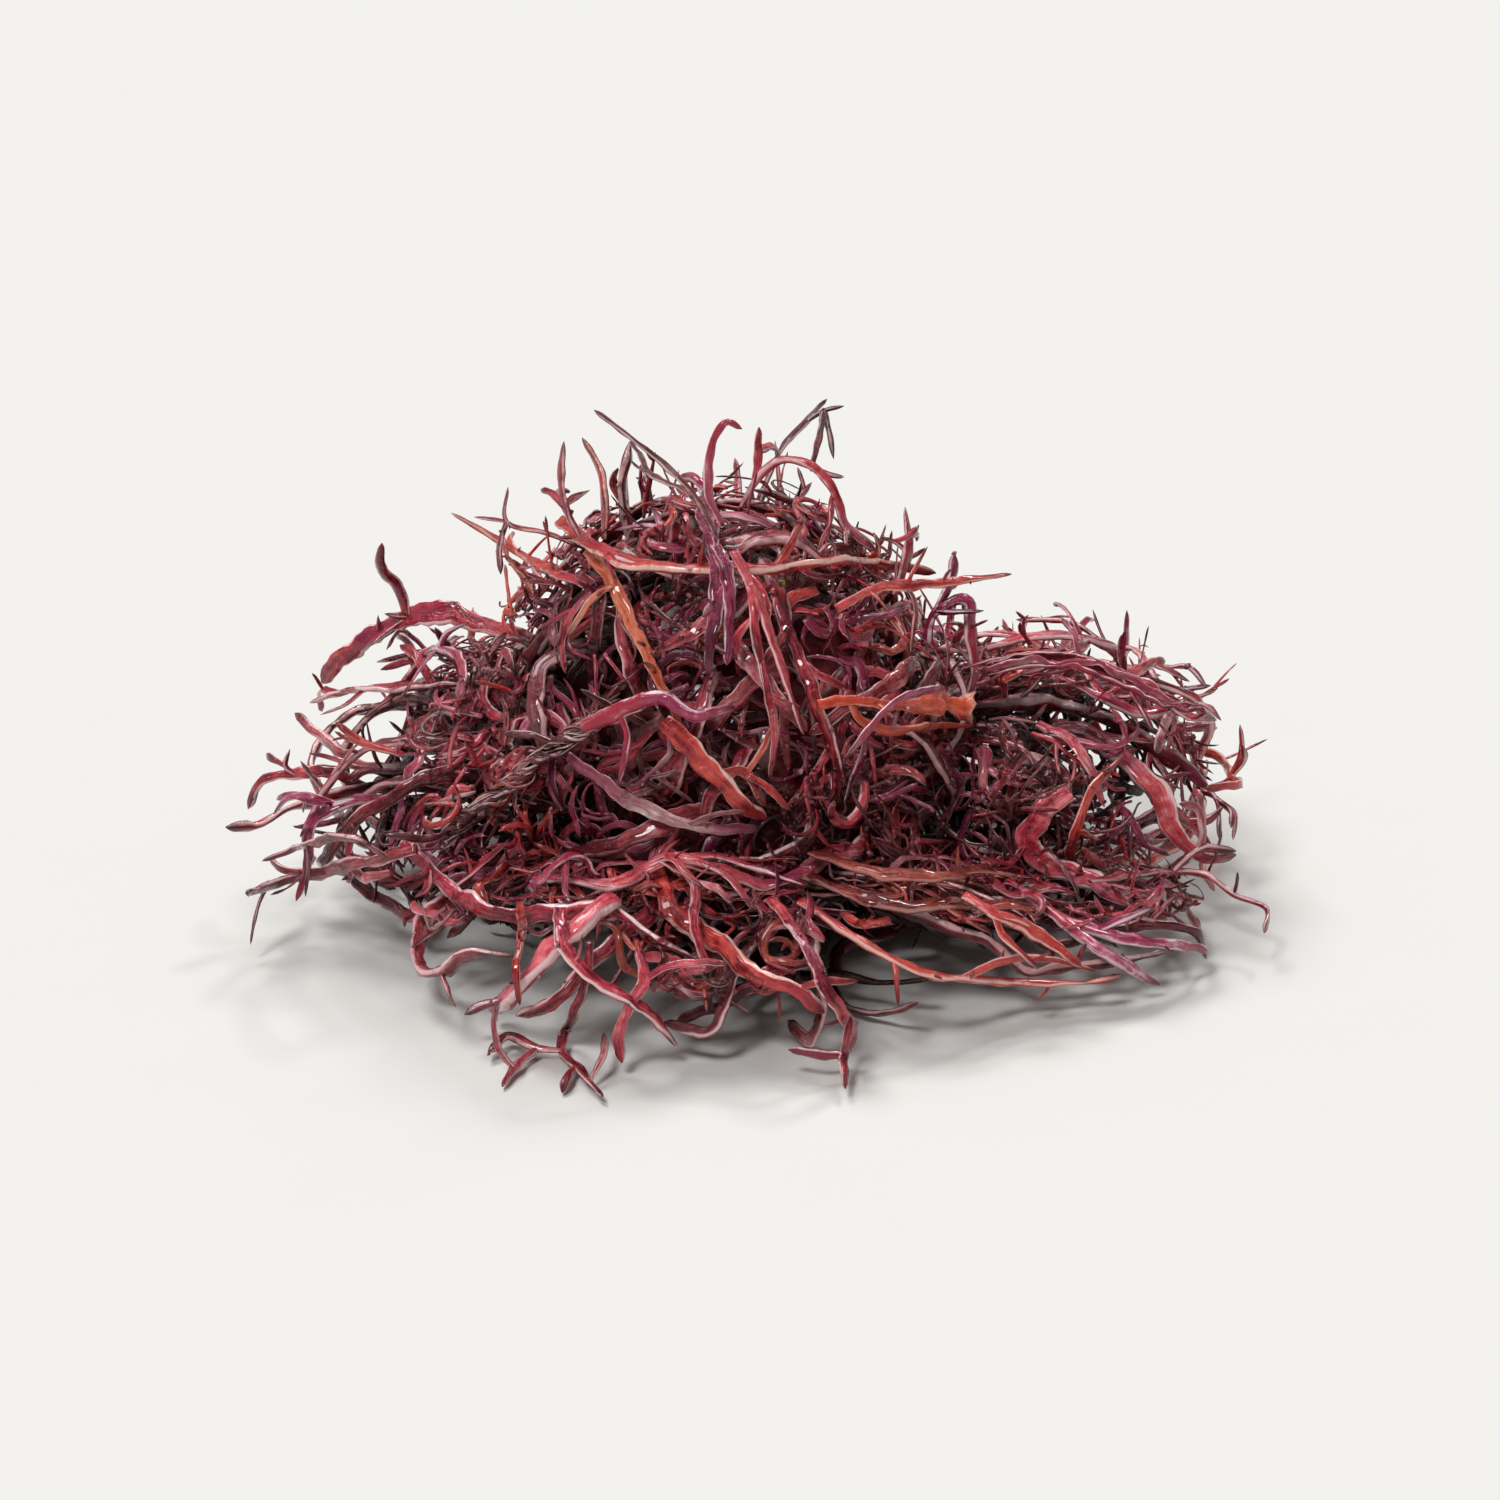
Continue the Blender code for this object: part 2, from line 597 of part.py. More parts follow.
def smooth_route(route, steps):
    """Points along the smooth curve through a route's own points."""
    own = [Vector((across, rise, 0.0)) for across, rise in route]
    own = [own[0] * 2 - own[1], *own, own[-1] * 2 - own[-2]]
    points = []
    for before, start, end, after in zip(own, own[1:], own[2:], own[3:]):
        for step in range(steps):
            share = step / steps
            bend = before * 2 - start * 5 + end * 4 - after
            rush = start * 3 - before - end * 3 + after
            points.append(
                (start * 2 + (end - before) * share + bend * share**2 + rush * share**3) / 2
            )
    return [*points, own[-2]]


def evenly(sights, step):
    """Points of a route at even steps along its length in space, two stretches or more."""
    places = [VIEW.place(sight) for sight in sights]
    lengths = [0.0]
    for start, end in zip(places, places[1:]):
        lengths.append(lengths[-1] + (end - start).length)
    count = max(2, round(lengths[-1] / step))
    points = []
    stretch = 0
    for number in range(count + 1):
        wanted = lengths[-1] * number / count
        while stretch < len(lengths) - 2 and lengths[stretch + 1] < wanted:
            stretch += 1
        share = (wanted - lengths[stretch]) / (lengths[stretch + 1] - lengths[stretch])
        points.append(sights[stretch].lerp(sights[stretch + 1], min(1.0, share)))
    return points


def laid(axis, root, room, rng):
    """The strand of a shown frond's axis, pushed towards the eye until it lies clear.

    The root is the ring that it starts from on its own frond, or None for the main axis.
    """
    lowest = axis.width / 2 + TABLE_GAP
    sights = smooth_route(axis.route, ROUTE_STEPS)
    reaches = []
    for number, sight in enumerate(sights):
        share = number / (len(sights) - 1)
        depth = axis.depth and axis.depth[0] + (axis.depth[1] - axis.depth[0]) * share
        reaches.append(VIEW.reach(sight, depth, lowest))
    for sight, reach in zip(sights, smoothed(reaches, REACH_EASING)):
        sight.z = min(reach, VIEW.reach(sight, math.inf, lowest))
    if root:
        start = VIEW.sight(root.middle)
        nearest = min(range(len(sights) - 1), key=lambda place: (sights[place] - start).xy.length)
        beyond = [sight for sight in sights[nearest:] if (sight - start).xy.length > NEAREST_RING]
        for sight in beyond:
            share = min(1.0, (sight - start).xy.length / REACH_BLEND)
            sight.z = start.z + (sight.z - start.z) * share
        sights = [start, *beyond]
    sights = evenly(sights, RING_STEP)
    phase = rng.uniform(0, math.tau)
    twist = rng.uniform(-TWIST_PER_RING, TWIST_PER_RING)
    count = len(sights) if axis.flared else len(sights) - 1
    halves = half_widths(count, axis.width, phase, axis.flared)
    pushes = [0.0] * len(sights)
    for _ in range(MOST_PUSHES):
        points = [
            VIEW.place(Vector((sight.x, sight.y, sight.z - push)))
            for sight, push in zip(sights, pushes)
        ]
        strand = framed(points, halves, twist)
        near = (root.middle, root.width + ROOT_ROOM) if root else (None, 0.0)
        crowded = [not room.clear(balls, *near) for balls in strand.balls()]
        if not any(crowded):
            return strand
        for number in range(1 if root else 0, len(pushes)):
            if any(crowded[max(0, number - 1):number + 1]):
                pushes[number] += PUSH
        for order in (range(1, len(pushes)), range(len(pushes) - 2, 0 if root else -1, -1)):
            for number in order:
                beside = number - 1 if order.step > 0 else number + 1
                pushes[number] = max(pushes[number], pushes[beside] - PUSH_SLOPE)
    raise RuntimeError(f"a strand at {axis.route[0]} finds no room")


def grown(
    rng, room, start, way, width, length, depth, step, root=None, target=None, mounds=MOUNDS
):
    """A strand that grows from a place along the skin of mounds, as far as it finds room.

    The depth is how far outside the skin it runs, negative inside. The root is the ring of its own
    frond that it starts from, if it has one, and it grows towards a target, if it is given one. It
    is None where there is no room at all.
    """
    points = [start]
    root_reach = (root.width if root else 0.0) + ROOT_ROOM
    curl = rng.uniform(-CURL_PER_RING, CURL_PER_RING)
    phase = rng.uniform(0, math.tau)
    twist = rng.uniform(-TWIST_PER_RING, TWIST_PER_RING)
    count = max(FEWEST_RINGS, round(length / step))
    step = length / count
    for number in range(count):
        place = points[-1]
        out = outward(place, mounds)
        way = Quaternion(out, curl + rng.gauss(0, WANDER)) @ way
        wanted = max(-STEEPEST, min(STEEPEST, (depth - skin_gap(place, mounds)) / step))
        climb = way.dot(out) + (wanted - way.dot(out)) * SKIN_PULL
        along = way + Vector((place.x, place.y, 0)).normalized() * DOWNHILL
        if target and (target - place).length > 2 * step:
            along = along + (target - place).normalized() * TARGET_PULL
        along = along - out * along.dot(out)
        way = along.normalized() * math.sqrt(1 - climb * climb) + out * climb
        if place.z < 2 * width:
            way.z = max(way.z, 0.0)
        way = way.normalized()
        near = (start, root_reach) if number < 2 else (None, 0.0)
        half = width / 2
        found = None
        for tilt in [0.0, *AVOID_TILTS]:
            across = Quaternion(way, rng.uniform(0, math.tau)) @ way.orthogonal().normalized()
            turns = AVOID_TURNS if tilt else 1
            for turn in range(turns):
                axis = Quaternion(way, math.tau * turn / turns) @ across
                tried = Quaternion(axis, tilt) @ way
                side = tried.cross(out).normalized()
                from_ring = Ring(place, side, out, half, half * FLATNESS)
                to_ring = Ring(place + tried * step, side, out, half, half * FLATNESS)
                if skin_gap(to_ring.middle, mounds) > depth + MOST_PROUD:
                    continue
                if room.clear(balls_between(from_ring, to_ring), *near):
                    found = tried
                    break
            if found:
                break
        if not found:
            break
        way = found
        points.append(place + way * step)
    while len(points) > FEWEST_RINGS:
        halves = half_widths(len(points) - 1, width, phase)
        strand = framed(points, halves, twist)
        if all(room.clear(balls, start, root_reach) for balls in strand.balls()):
            return strand
        points.pop()
    return None


def fork(rng, room, strand, width, length, step, depth):
    """A side branch from one of a strand's rings, or None where there is no room."""
    number = rng.randrange(1, len(strand.rings))
    ring = strand.rings[number]
    along = (ring.middle - strand.rings[number - 1].middle).normalized()
    angle = math.radians(rng.uniform(*FORK_ANGLE)) * rng.choice((-1, 1))
    out = outward(ring.middle)
    way = (Quaternion(out, angle) @ along + out * rng.uniform(0, FORK_RISE)).normalized()
    return grown(rng, room, ring.middle, way, width, length, depth, step, ring)


def add_spurs(rng, room, frond, count):
    """Gives a frond short spurs, each from a ring of one of its strands."""
    hosts = [strand for strand in frond.strands if len(strand.rings) > 1]
    for _ in range(count):
        host = rng.choice(hosts)
        width = rng.uniform(*SPUR_WIDTH)
        spur = fork(rng, room, host, width, rng.uniform(*SPUR_LENGTH), SPUR_STEP, SPUR_DEPTH)
        if spur:
            frond.strands.append(spur)


def shown_frond(shown, room, rng):
    """A shown frond, laid on the fronds before it."""
    frond = Frond(shown.name, shown.colour)
    for axis in shown.axes:
        root = None
        if frond.strands:
            rings = [ring for strand in frond.strands for ring in strand.rings[1:]]
            start = Vector((*axis.route[0], 0.0))
            root = min(rings, key=lambda ring: (VIEW.sight(ring.middle) - start).xy.length)
        frond.strands.append(laid(axis, root, room, rng))
    add_spurs(rng, room, frond, shown.spurs)
    return frond


def bare_spot(rng, room, facing=-1.0):
    """The barest of some random places on the heap's skin that don't face the front too much."""
    spots = []
    while len(spots) < SPOT_TRIES:
        centre, half = rng.choice(MOUNDS)
        turn = rng.uniform(0, math.tau)
        height = rng.uniform(0.0, SPOT_TOP)
        level = math.sqrt(1 - height * height)
        place = centre + Vector((level * math.cos(turn), level * math.sin(turn), height)) * half
        if skin_gap(place) > -SPOT_SUNK and outward(place).y >= facing:
            spots.append(place)
    return max(spots, key=room.openness)


def core_root(spot):
    """A ring sunk in the core under a spot of its unit sphere, for a strand to start from."""
    out = scaled(spot, CORE_HALF).normalized()
    start = CORE_CENTRE + spot * CORE_HALF - out * ROOT_SUNK
    return Ring(start, out.orthogonal().normalized(), out, ROOT_SUNK + LONG_STEP, 1.0)


def reaching_frond(number, room, rng, low_place=None):
    """A frond of the heart that reaches from the core, with the fork some have.

    It reaches for a low place inside the heap, or where none is given for a bare spot of its skin.
    """
    target = low_place or bare_spot(rng, room)
    spot = scaled(target - CORE_CENTRE, CORE_HALF)
    slant = rng.uniform(-REACHING_SLANT, REACHING_SLANT)
    root = core_root((Quaternion(Vector((0, 0, 1)), slant) @ spot).normalized())
    along = Quaternion(root.face, rng.uniform(0, math.tau)) @ root.side
    way = (root.face + along * rng.uniform(*REACHING_LEAN)).normalized()
    width = rng.uniform(*REACHING_WIDTH)
    length = (target - root.middle).length + rng.uniform(*REACHING_SPREAD)
    depth = skin_gap(target) - LOW_SUNK if low_place else rng.uniform(*REACHING_DEPTH)
    start = root.middle
    strand = grown(rng, room, start, way, width, length, depth, LONG_STEP, root, target)
    if not strand or len(strand.rings) < SHORTEST_REACHING:
        return []
    if number % REACHING_FORK_EVERY:
        return [strand]
    length *= REACHING_FORK_SHARE
    side = fork(rng, room, strand, width * FORK_WIDTH, length, LONG_STEP, depth)
    return [strand, side] if side else [strand]


def wrapping_frond(number, room, rng):
    """A frond of the heart that is wrapped over the barest part of the core."""
    spots = []
    for _ in range(SPOT_TRIES):
        turn = rng.uniform(0, math.tau)
        height = rng.uniform(WRAPPING_LOWEST, 1.0)
        level = math.sqrt(1 - height * height)
        spots.append(Vector((level * math.cos(turn), level * math.sin(turn), height)))
    root = core_root(max(spots, key=lambda spot: room.openness(CORE_CENTRE + spot * CORE_HALF)))
    along = Quaternion(root.face, rng.uniform(0, math.tau)) @ root.side
    way = (root.face + along).normalized()
    width = rng.uniform(*WRAPPING_WIDTH)
    length = rng.uniform(*WRAPPING_LENGTH)
    depth = rng.uniform(*WRAPPING_DEPTH)
    core = [(CORE_CENTRE, CORE_HALF)]
    start = root.middle
    strand = grown(
        rng, room, start, way, width, length, depth, LONG_STEP, root, mounds=core
    )
    return [strand] if strand and len(strand.rings) >= SHORTEST_WRAPPING else []


def fill_frond(number, room, rng):
    """A frond that grows over the barest part of the heap, from beside the nearest strand."""
    place = bare_spot(rng, room, FILL_FACING)
    nearest, index, _ = room.tree.find(place)
    width = rng.uniform(*FILL_WIDTH)
    clearance = room.balls[index][1] + width + 2 * GAP
    start = nearest + (place - nearest).normalized() * clearance
    length = rng.uniform(*FILL_LENGTH)
    out = outward(start)
    way = (place - nearest).normalized() + out.cross(Vector((0, 0, 1))) * rng.uniform(-1, 1)
    frond = Frond(f"frond_{number + 1:02d}", FILL_COLOURS[number % len(FILL_COLOURS)])
    way = way.normalized()
    strand = grown(rng, room, start, way, width, length, FILL_DEPTH, LONG_STEP)
    if not strand or len(strand.rings) < SHORTEST_FILL:
        return None
    frond.strands.append(strand)
    for _ in range(FILL_FORKS):
        reach = length * rng.uniform(*FORK_LENGTH)
        side = fork(rng, room, strand, width * FORK_WIDTH, reach, LONG_STEP, FORK_DEPTH)
        if side:
            frond.strands.append(side)
    add_spurs(rng, room, frond, FILL_SPURS)
    return frond


def grow_heap():
    """All the fronds of the heap, in the order in which they are laid."""
    rng = random.Random(SEED)
    room = Room()
    heart = Frond("matted_heart", "dark")
    for grow, count in ((wrapping_frond, WRAPPING_FRONDS), (reaching_frond, REACHING_FRONDS)):
        for number in range(count):
            tries = (grow(number, room, rng) for _ in range(HEART_TRIES))
            for strand in next(filter(None, tries), []):
                heart.strands.append(strand)
                room.take(strand)
    fronds = [heart]
    for shown in SHOWN:
        frond = shown_frond(shown, room, random.Random(shown.name))
        fronds.append(frond)
        for strand in frond.strands:
            room.take(strand)
    number = 0
    while number < FILL_FRONDS:
        frond = fill_frond(number, room, rng)
        if frond:
            fronds.append(frond)
            for strand in frond.strands:
                room.take(strand)
            number += 1
    for number, place in enumerate(LOW_PLACES, 1):
        tries = (reaching_frond(number, room, rng, Vector(place)) for _ in range(HEART_TRIES))
        for strand in next(filter(None, tries), []):
            heart.strands.append(strand)
            room.take(strand)
    return fronds


def corners(ring, sides):
    """The corners of a cross-section, round its ellipse from its wide edge."""
    turns = [math.tau * number / sides for number in range(sides)]
    return [
        ring.middle
        + ring.side * (ring.width * math.cos(turn))
        + ring.face * (ring.thickness * math.sin(turn))
        for turn in turns
    ]


def strand_object(strand):
    """A mesh object of one strand: a faceted tube from its flat root to its tip or mouth."""
    widest = max(ring.width for ring in strand.rings)
    sides = 3 if widest < SLIM else 4 if widest < THICK else 6
    shape = bmesh.new()
    loops = [
        [shape.verts.new(corner * MM) for corner in corners(ring, sides)]
        for ring in strand.rings
    ]
    shape.faces.new(loops[0][::-1])
    for start, end in zip(loops, loops[1:]):
        for number in range(sides):
            after = (number + 1) % sides
            shape.faces.new((start[number], start[after], end[after]))
            shape.faces.new((start[number], end[after], end[number]))
    if strand.tip:
        tip = shape.verts.new(strand.tip * MM)
        for number in range(sides):
            shape.faces.new((loops[-1][number], loops[-1][(number + 1) % sides], tip))
    else:
        shape.faces.new(loops[-1])
    mesh = bpy.data.meshes.new("strand")
    shape.to_mesh(mesh)
    shape.free()
    return bpy.data.objects.new("strand", mesh)


def core_object():
    """The heart's core: an ellipsoid with a matted relief, cut flat where it rests."""
    shape = bmesh.new()
    bmesh.ops.create_icosphere(shape, subdivisions=3, radius=1.0)
    for vertex in shape.verts:
        place = CORE_CENTRE + vertex.co * CORE_HALF
        relief = noise.noise(place / CORE_RELIEF_SCALE) * CORE_RELIEF
        vertex.co = (place + scaled(vertex.co, CORE_HALF).normalized() * relief) * MM
    everything = [*shape.verts, *shape.edges, *shape.faces]
    cut = bmesh.ops.bisect_plane(
        shape, geom=everything, dist=1e-6, plane_co=(0, 0, 0), plane_no=(0, 0, 1), clear_inner=True
    )
    rim = [part for part in cut["geom_cut"] if isinstance(part, bmesh.types.BMEdge)]
    bmesh.ops.edgeloop_fill(shape, edges=rim)
    bmesh.ops.recalc_face_normals(shape, faces=shape.faces[:])
    mesh = bpy.data.meshes.new("core")
    shape.to_mesh(mesh)
    shape.free()
    return bpy.data.objects.new("core", mesh)


def fused(name, solids):
    """One closed body from solids that overlap, by one Boolean union.

    The solver is MANIFOLD, because a strand that crosses itself leaves open edges with EXACT.
    """
    body = solids[0]
    body.name = name
    bpy.context.scene.collection.objects.link(body)
    if len(solids) > 1:
        others = bpy.data.collections.new("fused into " + name)
        bpy.context.scene.collection.children.link(others)
        for solid in solids[1:]:
            others.objects.link(solid)
        union = body.modifiers.new("Union", "BOOLEAN")
        union.operation = "UNION"
        union.solver = "MANIFOLD"
        union.operand_type = "COLLECTION"
        union.collection = others
        graph = bpy.context.evaluated_depsgraph_get()
        mesh = bpy.data.meshes.new_from_object(body.evaluated_get(graph))
        body.modifiers.clear()
        body.data = mesh
        for solid in solids[1:]:
            bpy.data.objects.remove(solid)
        bpy.data.collections.remove(others)
    body.data.name = name
    body.data.shade_smooth()
    body.data.set_sharp_from_angle(angle=SHARP_ANGLE)
    return body


def material(name):
    """The plain finish of a frond, by the name of its colour."""
    finish = bpy.data.materials.get(name)
    if finish is None:
        finish = bpy.data.materials.new(name)
        finish.use_nodes = True
        shader = finish.node_tree.nodes["Principled BSDF"]
        shader.inputs["Base Color"].default_value = (*COLOURS[name], 1)
        shader.inputs["Roughness"].default_value = ROUGHNESS
        shader.inputs["Metallic"].default_value = 0.0
    return finish


def main():
    for leftover in list(bpy.data.objects):
        bpy.data.objects.remove(leftover)
    for frond in grow_heap():
        solids = [strand_object(strand) for strand in frond.strands]
        if frond.name == "matted_heart":
            solids.insert(0, core_object())
        body = fused(frond.name, solids)
        body.data.materials.clear()
        body.data.materials.append(material(frond.colour))


main()
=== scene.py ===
"""Funori: the looks of a dried handful of red seaweed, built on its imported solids.

The fronds are laid along the same routes and by the same seeded rule as the solids, and each solid
is replaced by a fine piece in the same place: collapsed, grooved, beaded branches with thorns. The
thin branches, wires and crumbs that the solids leave out grow in the room between them.

Lengths are in millimetres until a mesh is made, and Blender's objects are in metres. +Z is up, and
the front of the heap faces -Y.
"""

import logging
import math
import random
from collections.abc import Callable, Iterable, Sequence
from dataclasses import dataclass, field
from enum import Enum

import bpy
import numpy as np
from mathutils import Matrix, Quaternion, Vector
from mathutils.kdtree import KDTree


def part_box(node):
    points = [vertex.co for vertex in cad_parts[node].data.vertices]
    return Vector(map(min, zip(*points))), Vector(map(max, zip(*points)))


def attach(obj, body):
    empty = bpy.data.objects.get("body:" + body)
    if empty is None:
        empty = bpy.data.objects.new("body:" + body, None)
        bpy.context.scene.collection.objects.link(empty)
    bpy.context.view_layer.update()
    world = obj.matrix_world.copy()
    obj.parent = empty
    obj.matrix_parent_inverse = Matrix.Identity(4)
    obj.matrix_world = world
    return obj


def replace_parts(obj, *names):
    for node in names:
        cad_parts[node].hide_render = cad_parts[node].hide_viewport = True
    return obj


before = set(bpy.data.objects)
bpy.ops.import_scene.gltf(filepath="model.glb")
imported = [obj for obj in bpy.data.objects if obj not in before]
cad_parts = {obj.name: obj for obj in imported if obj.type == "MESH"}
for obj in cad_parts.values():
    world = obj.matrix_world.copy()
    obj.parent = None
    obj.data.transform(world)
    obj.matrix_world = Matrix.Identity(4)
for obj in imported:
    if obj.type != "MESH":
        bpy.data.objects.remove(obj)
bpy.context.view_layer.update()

log = logging.getLogger("funori")

Mounds = list[tuple[Vector, Vector]]
Ball = tuple[Vector, float]


MM = 0.001
SEED = 28

# How the heap is seen from the front: the routes below are (across, rise) in this view, in
# millimetres at the heap's middle, with rise 0 where the table passes under the middle.
SIGHT_ELEVATION = math.radians(21)
SIGHT_DISTANCE = 600.0
AIM_RISE = 16.5

# The heap's skin: the mounds that it heaps up into, as (centre, half-sizes).
MOUNDS = [
    (Vector((-4, 4, 12)), Vector((25, 24, 31))),
    (Vector((-26, 5, 9)), Vector((19, 23, 15))),
    (Vector((29, 10, 12)), Vector((17, 19, 11))),
    (Vector((-3, -20, 6)), Vector((31, 18, 8))),
    (Vector((30, -12, 4)), Vector((15, 14, 5))),
    (Vector((0, 22, 9)), Vector((32, 20, 15))),
]

# The heart's core, which the heart's own fronds stand out of. It is cut flat at the table.
CORE_CENTRE = Vector((-2, 1, 16.5))
CORE_HALF = Vector((18, 17, 19.5))
CORE_RELIEF = 1.4
ROOT_SUNK = 2.8
ROOT_ROOM = 0.5
HEART_TRIES = 5
REACHING_FRONDS = 40
REACHING_WIDTH = (1.7, 2.8)
REACHING_SPREAD = (8, 18)
REACHING_DEPTH = (-5.0, -1.5)
REACHING_SLANT = math.radians(60)
REACHING_LEAN = (0.6, 1.4)
REACHING_FORK_EVERY = 8
REACHING_FORK_SHARE = 0.4
WRAPPING_FRONDS = 56
WRAPPING_WIDTH = (2.0, 3.2)
WRAPPING_LENGTH = (18, 30)
WRAPPING_DEPTH = (2.6, 4.6)
WRAPPING_LOWEST = -0.75

# Places low inside the heap that the last fronds of the heart reach for.
LOW_PLACES = [(-24, -9, 3), (-26, 12, 3), (-16, -22, 3), (-30, -16, 4), (-4, -26, 3), (18, -18, 3)]
LOW_SUNK = 1.5

# How a strand is shaped.
RING_STEP = 3.8
LONG_STEP = 5.0
THINNEST = 0.64
TIP_HALF = 0.16
FLATNESS = 0.5
ROOT_NECK = 0.62
NECK_SHARE = 0.25
TAIL_SHARE = 0.5
TAIL_LOSS = 0.7
BEAD_DEPTH = 0.26
BEAD_TURN = 2.1
MOUTH_FLARE = 0.5
TWIST_PER_RING = math.radians(14)
FACE_KEPT = 0.7
EDGE_ON = 0.05

# How a strand grows.
WANDER = math.radians(13)
CURL_PER_RING = math.radians(12)
AVOID_TILTS = [math.radians(tilt) for tilt in (18, 34, 52)]
AVOID_TURNS = 7
SKIN_PULL = 0.65
STEEPEST = 0.85
TARGET_PULL = 0.4
DOWNHILL = 0.12
MOST_PROUD = 4.5
FEWEST_RINGS = 2
SHORTEST_REACHING = 5
SHORTEST_WRAPPING = 4

# How a shown frond's route is followed.
ROUTE_STEPS = 5
REACH_EASING = 6
NEAREST_RING = 1.0
REACH_BLEND = 9.0

# How strands are kept apart.
GAP = 0.4
SAMPLE_STEP = 0.9
PUSH = 0.45
MOST_PUSHES = 70
PUSH_SLOPE = 1.3
TABLE_GAP = 0.12

# Side branches: forks, sized as shares of the axis that they leave, and short spurs.
FORK_ANGLE = (28, 58)
FORK_RISE = 0.35
FORK_DEPTH = 1.0
FORK_WIDTH = 0.72
FORK_LENGTH = (0.3, 0.5)
SPUR_LENGTH = (4.0, 8.5)
SPUR_WIDTH = (1.0, 1.5)
SPUR_STEP = 2.6
SPUR_DEPTH = 4.0

# The fronds that fill the sides, the top and the back.
FILL_FRONDS = 13
FILL_LENGTH = (30, 46)
FILL_WIDTH = (1.7, 2.4)
FILL_FORKS = 3
FILL_SPURS = 2
FILL_FACING = -0.3
FILL_DEPTH = 0.0
SHORTEST_FILL = 5
SPOT_TRIES = 60
SPOT_TOP = 0.97
SPOT_SUNK = 0.5

# How the fine pieces are made.
PICTURE_WIDTH = 150.0
FLOOR_GAP = 0.05
FINE_STEP = 0.35
FINE_STEPS = (0.46, 0.64)
EVENED = 0.55
SLIMMED = 0.86
TIP_SHARES = (0.5, 0.8, 1.0)
ROLL = 0.30
SWAY = 0.27
FEWEST_STEPS = 5
MOST_SIDES = 16
SIDES_PER_WIDTH = 3.2
SPIRAL = (-0.45, 0.45)
MOUTH_REACH = 4.0
MOUTH_LOOPS = 8
MOUTH_WALL = 0.84
TEAR_DEPTH = 0.3
MOUTH_SHAPE = ((0.0, 2.0, 3.9, 6.3, 9.5, 15.0), (1.65, 1.15, 0.62, 1.35, 1.10, 0.50))
# Painted shade: strands are darkened by their depth under the heap's skin, fully at this depth, and
# in their grooves.
SHADE_DEPTH = 5.6
SHADE_POWER = 1.6
BURIED_SHADE = 0.95
GROOVE_SHADE = 0.85

# The outline of the thick of the heap in the front view, as (across, rise).
MASS_OUTLINE = [
    (-40.5, 3.5), (-42, 9), (-38, 12.5), (-35, 17), (-32, 24), (-30, 29), (-27, 33), (-24, 35.5),
    (-21, 38.5), (-18, 40.5), (-11, 41), (-6, 42.5), (-3, 45.5), (1, 47), (4, 44.5), (8, 40.5),
    (12, 37.5), (15, 36), (19, 31.5), (21, 28), (25, 27.2), (31, 26.7), (36, 25), (41, 22.5),
    (44, 19.5), (45, 15.5), (46, 11.5), (48.5, 6.5), (48, 3.5), (45, 1.5), (40, -1.5),
    (35, -2.5), (29, -1), (21, -0.5), (15, -1.5), (12, -1), (8, -3.5), (5, -7.5), (-5, -8.5),
    (-11, -7), (-15, -3.5), (-21, -2), (-28, -0.5), (-32, -1.5), (-35, 2.5),
]

# How the thin strands grow.
CROWD_REACH = 1.6
THIN_STEP = (0.9, 1.5)
THIN_TILTS = (0.0, 0.3, 0.5, 0.7, 0.9)
THIN_GAP = 0.08
THIN_SQUEEZE = 0.35
TWIG_CHANCE = 0.09
TINE_CHANCE = 0.30
CROSSING_SHARE = 0.15
UPRIGHT_FROM = 20.0
UPRIGHT_DEPTH = 5.0
SETTLE_EVERY = 30
THIN_STEEPEST = 0.8
THIN_SKIN_REACH = 4
THIN_SKIN_PULL = 0.35
TILT_COST = 0.25
SHORTEST_THIN = 5
SHORTEST_SIDE = 4
SLIMMEST_SIDE = 0.28
TWIG_LENGTH = (1.0, 3.4)
TWIG_HALF = (0.20, 0.50)
TWIG_LOWEST = 0.4
SPOT_CHOICES = 12

# The tones of the fronds that fill the sides, the top and the back, in turn.
FILL_COLOURS = ["maroon", "wine", "brick", "maroon", "wine", "rust"]


@dataclass(frozen=True)
class Axis:
    """One axis of a shown frond: its width, and its route in the front view.

    A depth lays it that far behind the heap's middle at its two ends, and otherwise it lies on the
    heap's skin. A flared axis opens into a mouth at its end, where the others run out into a tip.
    """

    width: float
    route: list[tuple[float, float]]
    depth: tuple[float, float] | None = None
    flared: bool = False


@dataclass(frozen=True)
class Shown:
    """A frond that shows from the front, with its axes and the number of its spurs.

    The first axis is the main one. Each later axis starts from the nearest ring of those before.
    """

    name: str
    colour: str
    spurs: int
    axes: list[Axis]


